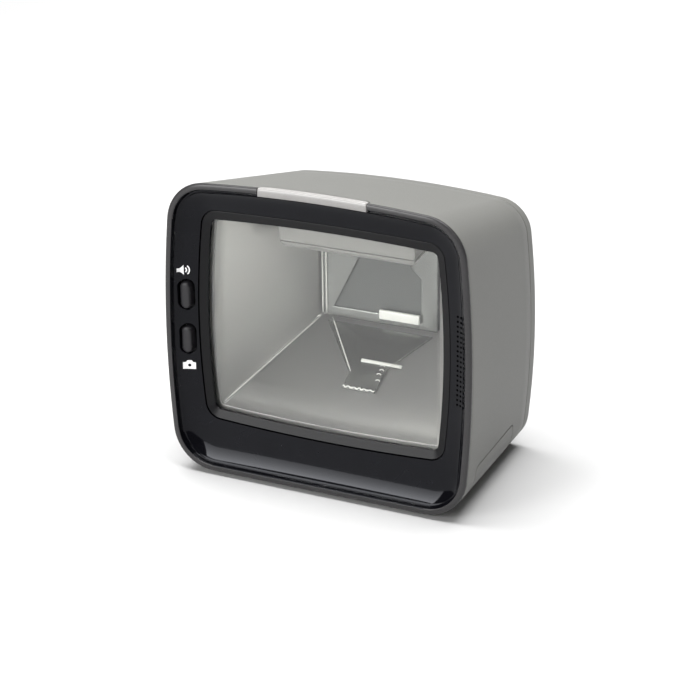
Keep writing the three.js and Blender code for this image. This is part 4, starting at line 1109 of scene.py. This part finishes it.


# The bright beads below are painted highlights: the lines of light that the funnel's corners and the
# mirrors' edges catch.
TUBE_LEAN = Vector((0.13, 0.31, 0.94))  # a direction that no bead runs in
PLATE_LIFT = 1.9  # the floor plate's edges above the funnel's floor
CORNER_HIGHLIGHTS = {"corner_bead_left": -29.3, "corner_bead_right": -27.3}
CORNER_DEPTH, CORNER_SPAN = 66.1, (60.2, 101)
PLATE_SIDE = ((-23.9, 65.4), (-1.9, 40.2))
PLATE_FRONT, PLATE_FRONT_SPAN = 32.7, (-2.4, 13.9)
COILS = ((12, 45), (12.5, 42.9), (12.1, 40.7), (13, 37.6))
COIL_SIZE, COIL_TURN = (1.1, 0.8), (0.2, 2.9)
TUBE_END = 0.4  # the share of its radius that a bead has at its ends
CORNER_HIGHLIGHT_INSET = 0.42  # how far the middle of the corner's painted highlight bead stands off the corner
MOUTH_BASE = APERTURE["base"] + FUNNEL_LIP
FLOOR_RISE = (CHAMBER["base"] - MOUTH_BASE) / (FUNNEL_BACK - MOUTH)


def highlight_bead(name, path, radius, slot="clear_acrylic", sides=10):
    """A bright round bead along a line of points, which paints a highlight."""
    path = [Vector(p) for p in path]
    rings = []
    for i, point in enumerate(path):
        along = (path[min(i + 1, len(path) - 1)] - path[max(i - 1, 0)]).normalized()
        across = along.cross(TUBE_LEAN).normalized()
        other = along.cross(across)
        size = radius * (TUBE_END if i in (0, len(path) - 1) else 1)
        rings.append(np.array([point + (across * x + other * y) * size for x, y in circle(0, 0, 1, sides)]))
    piece = paint(skin(name, rings, angle=60), slot)
    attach(piece, BODY)


def on_floor(x, y, lift=PLATE_LIFT):
    return x, y, MOUTH_BASE + (y - MOUTH) * FLOOR_RISE + lift


def line(start, end):
    return [tuple(mix(np.array(start), np.array(end), share)) for share in np.linspace(0, 1, 12)]


corner_line = []
for share in np.linspace(0.01, 0.95, 14):
    loop = funnel_ring(share)
    corner_line.append(tuple(loop[int(np.argmin(loop[:, 0] + loop[:, 2]))] + (CORNER_HIGHLIGHT_INSET, 0, CORNER_HIGHLIGHT_INSET)))
# painted highlight along the funnel's lower left corner
highlight_bead("floor_corner_bead", corner_line, radius=0.36)
# painted highlight round the funnel's mouth
mouth_line = ring(APERTURE, FLANGE_FRONT + 0.2, FUNNEL_LIP - 0.15)
highlight_bead("funnel_mouth_bead", np.vstack([mouth_line, mouth_line[:1]]), radius=0.24, slot="frosted_diffuser")
# painted highlights on the two back corner edges of the chamber
for name, x in CORNER_HIGHLIGHTS.items():
    highlight_bead(name, line(*[(x, CORNER_DEPTH, z) for z in CORNER_SPAN]), radius=0.45)
# painted highlight along the floor mirror's side edge
highlight_bead("floor_mirror_edge", line(*[on_floor(*spot) for spot in PLATE_SIDE]), radius=0.32)
# a painted highlight that wavers a little along the floor mirror's front edge
front_edge = [on_floor(x, PLATE_FRONT + 0.25 * math.sin(x * 2.3), PLATE_LIFT + 0.12 * math.sin(x * 3.1 + 1))
              for x in np.linspace(*PLATE_FRONT_SPAN, 40)]
highlight_bead("floor_mirror_front_edge", front_edge, radius=0.34)
# small bright arcs on the funnel floor, in the finish of the highlight beads: painted highlights
for i, (x, y) in enumerate(COILS):
    curl = [on_floor(x + COIL_SIZE[0] * math.cos(a), y + COIL_SIZE[1] * math.sin(a))
            for a in np.linspace(*COIL_TURN, 9)]
    highlight_bead("spring_coil_%d" % i, curl, radius=0.26, sides=8)


# ---------------------------------------------------------------- feet, screws and rear

HEAD_PROFILE = [(1.2, 0.02), (1.9, 0.14), (2.4, 0.42), (2.7, 0.85), (2.8, 1.3), (2.8, 1.8)]
SHANK_PROFILE = [(1.5, 1.8), (1.5, 17.6)]
RECESS_LONG, RECESS_SHORT, RECESS_DEPTH = 1.55, 0.36, 1.1
REAR_HEAD, BASE_HEAD = 0.1, 0.3  # how far the screws' heads lie under the surface


def screw_pattern():
    """Geometry Nodes that copy one screw to every point of a piece."""
    tree, given = new_pattern("screws", Points="Geometry", Screw="Object", Turn="Vector")
    one = add(tree, "GeometryNodeObjectInfo", {"Object": given["Screw"]})
    turn = add(tree, "FunctionNodeEulerToRotation", {"Euler": given["Turn"]})
    copies = add(tree, "GeometryNodeInstanceOnPoints", {
        "Points": given["Points"], "Instance": one.outputs["Geometry"], "Rotation": turn.outputs[0]})
    return end_pattern(tree, given, copies)


def screw_master():
    """A pan-head screw with a cross recess, its head's top at the origin and its shank along +z."""
    screw = lathe("screw_master", HEAD_PROFILE + SHANK_PROFILE, (0, -FRONT, -FLOOR), (0, 0, 1), 40)
    arms = [block("arm", (-half_x, half_x), (-half_y - FRONT, half_y - FRONT),
                  (-OVERCUT - FLOOR, RECESS_DEPTH - FLOOR))
            for half_x, half_y in ((RECESS_LONG, RECESS_SHORT), (RECESS_SHORT, RECESS_LONG))]
    return boolean(screw, "DIFFERENCE", *arms)


screw = screw_master()
screws = screw_pattern()


def screw_set(name, points, turn, rows):
    """One piece for four screws, which are named by row and side."""
    nodes = ["%s_%s_%s" % (name[:-1], row, side) for side in ("left", "right") for row in rows]
    made = grown(name, screws, {"Screw": screw, "Turn": turn, "Material": FINISHES["steel"]},
                 [tuple(p) for p in place(points)])
    shade(made.data)
    stand_in(made, "steel", BODY, *nodes)


rear_points = [(x, REAR_FACE - REAR_HEAD, z) for x, z in REAR_SCREWS]
screw_set("rear_screws", rear_points, (math.pi / 2, 0, 0), ("lower", "upper"))
base_points = [(x, y, BASE_HEAD) for x, y in BASE_SCREWS]
screw_set("base_screws", base_points, (0, 0, 0), ("front", "rear"))
bpy.data.objects.remove(screw)

for name in FEET:
    low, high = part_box(name)
    middle = (low + high) / 2
    origin = (middle.x / MM, middle.y / MM - FRONT, low.z / MM - FLOOR)
    radius = (high.x - low.x) / MM / 2
    rise = (high.z - low.z) / MM
    profile = [(0.01, 0.25), (1.4, 0.25), (1.6, 0.1), (1.9, 0), (radius - 0.7, 0), (radius - 0.3, 0.1),
               (radius - 0.08, 0.35), (radius, 0.7), (radius, rise), (0.01, rise)]
    stand_in(lathe(name + "_fine", profile, origin, (0, 0, 1)), "rubber", BODY, name)


# ---------------------------------------------------------------- signs

SPEAKER_SIGN = (-67.95, 94.6)
CAMERA_SIGN = (-67.35, 48.6)
INK_FRONT, INK_BACK = -0.04, 0.03  # the printed film's faces, one over the dish and one under it
STAMP_SPAN = (-3, 9)


def dish_film():
    """A film on the dish, which the signs are cut from."""
    front = [dish_ring(share, INK_FRONT) for share in DISH_SHARES]
    back = [dish_ring(share, INK_BACK) for share in DISH_SHARES[::-1]]
    return skin("film", front + back, closed=True)


def sign(name, shapes, holes=()):
    """Flat shapes in x and z, printed on the dish."""
    def prism(points):
        return skin("prism", [np.array([(x, y, z) for x, z in points]) for y in STAMP_SPAN])
    film = dish_film()
    parts = [prism(points) for points in shapes]
    stamp = parts[0]
    if len(parts) > 1:
        boolean(stamp, "UNION", *parts[1:])
    if holes:
        boolean(stamp, "DIFFERENCE", *[prism(points) for points in holes])
    boolean(film, "INTERSECT", stamp)
    film.name = name
    coat(film, SIGN_INK)
    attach(film, BODY)


def wave(x, z, radius, width, spread):
    """One sound wave of the speaker sign: a band along an arc."""
    outer, inner = (circle(x, z, r, 16, -spread, spread) for r in (radius + width / 2, radius - width / 2))
    return outer + inner[::-1]


def speaker_sign():
    x, z = SPEAKER_SIGN
    left = x - 2.9
    horn = [(left, z - 0.85), (left + 1.0, z - 0.85), (left + 2.5, z - 2.3), (left + 2.5, z + 2.3),
            (left + 1.0, z + 0.85), (left, z + 0.85)]
    waves = [wave(left + 2.3, z, radius, 0.55, 0.85) for radius in (1.35, 2.6)]
    sign("volume_sign", [horn] + waves)


def camera_sign():
    x, z = CAMERA_SIGN
    half, low, high = 2.75, -2.1, 1.15
    body = [(x - half, z + low), (x + half, z + low), (x + half, z + high), (x + 1.5, z + high + 0.1),
            (x + 0.95, z + 2.1), (x - 0.95, z + 2.1), (x - 1.5, z + high + 0.1), (x - half, z + high)]
    sign("image_sign", [body], [circle(x, z - 0.3, 0.72)])


speaker_sign()
camera_sign()


# ---------------------------------------------------------------- studio

def aim(thing, spot, target):
    thing.location = spot
    thing.rotation_mode = "QUATERNION"
    thing.rotation_quaternion = (Vector(target) - Vector(spot)).to_track_quat("-Z", "Y")


def softbox(name, spot, target, size, power, fade=0.0):
    """A soft rectangular lamp. fade dims its lower part, as a lamp set high in its box does."""
    lamp = bpy.data.lights.new(name, "AREA")
    lamp.shape = "RECTANGLE"
    lamp.size, lamp.size_y = size
    lamp.energy = power
    if fade:
        lamp.use_nodes = True
        tree = lamp.node_tree
        across = add(tree, "ShaderNodeNewGeometry").outputs["Parametric"]
        height = add(tree, "ShaderNodeSeparateXYZ", {"Vector": across}).outputs["Y"]
        level = add(tree, "ShaderNodeMapRange", {"Value": height, "To Min": 1 - fade, "To Max": 1.0})
        wire(tree, tree.nodes["Emission"], {"Strength": level.outputs["Result"]})
    aim(put(name, lamp), spot, target)


def make_floor():
    reach = 6.0
    corners = [(-reach, -reach, 0), (reach, -reach, 0), (reach, reach, 0), (-reach, reach, 0)]
    floor = put("studio_floor", raw_mesh("studio_floor", corners, [(0, 1, 2, 3)]))
    coat(floor, even("studio_paper", "#c4c4c4", dict(IOR=1.4), spread=0.01, mottle=400, grain=2,
                     relief=0.01, roughness=(0.8, 0.9)))
    floor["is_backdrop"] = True


def make_camera():
    azimuth, elevation, roll = (math.radians(a) for a in (26.9, 21.3, -0.5))
    distance = 0.9632
    back = Vector((math.sin(azimuth) * math.cos(elevation), -math.cos(azimuth) * math.cos(elevation),
                   math.sin(elevation)))
    target = Vector(place([(17.85, 0, 71.9)])[0])
    lens = bpy.data.cameras.new("camera")
    lens.lens = 113.4
    lens.sensor_width = 36
    lens.clip_start, lens.clip_end = 0.05, 50
    camera = put("camera", lens)
    camera.location = target + back * distance
    camera.rotation_mode = "QUATERNION"
    level = (-back).to_track_quat("-Z", "Y")
    camera.rotation_quaternion = level @ Matrix.Rotation(roll, 3, "Z").to_quaternion()
    bpy.context.scene.camera = camera


make_camera()
make_floor()
softbox("overhead", (-0.12, 0.0, 1.5), (-0.1, 0, 0), (1.0, 1.7), 60)
softbox("backdrop", (0, 1.4, 0.9), (0, 2.1, 0), (2.6, 0.5), 40)
softbox("left_front", (-0.58, -1.2, 0.39), (-0.05, 0, 0.3), (0.55, 0.76), 22, fade=0.7)
softbox("right_front", (0.7, -1.2, 0.9), (0, 0, 0.07), (0.25, 0.5), 2.5)

world = bpy.data.worlds.new("studio")
bpy.context.scene.world = world
world.use_nodes = True
wire(world.node_tree, world.node_tree.nodes["Background"], {"Color": linear("#c8c8c8"), "Strength": 0.1})
bpy.context.scene.view_settings.view_transform = "Standard"

low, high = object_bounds()
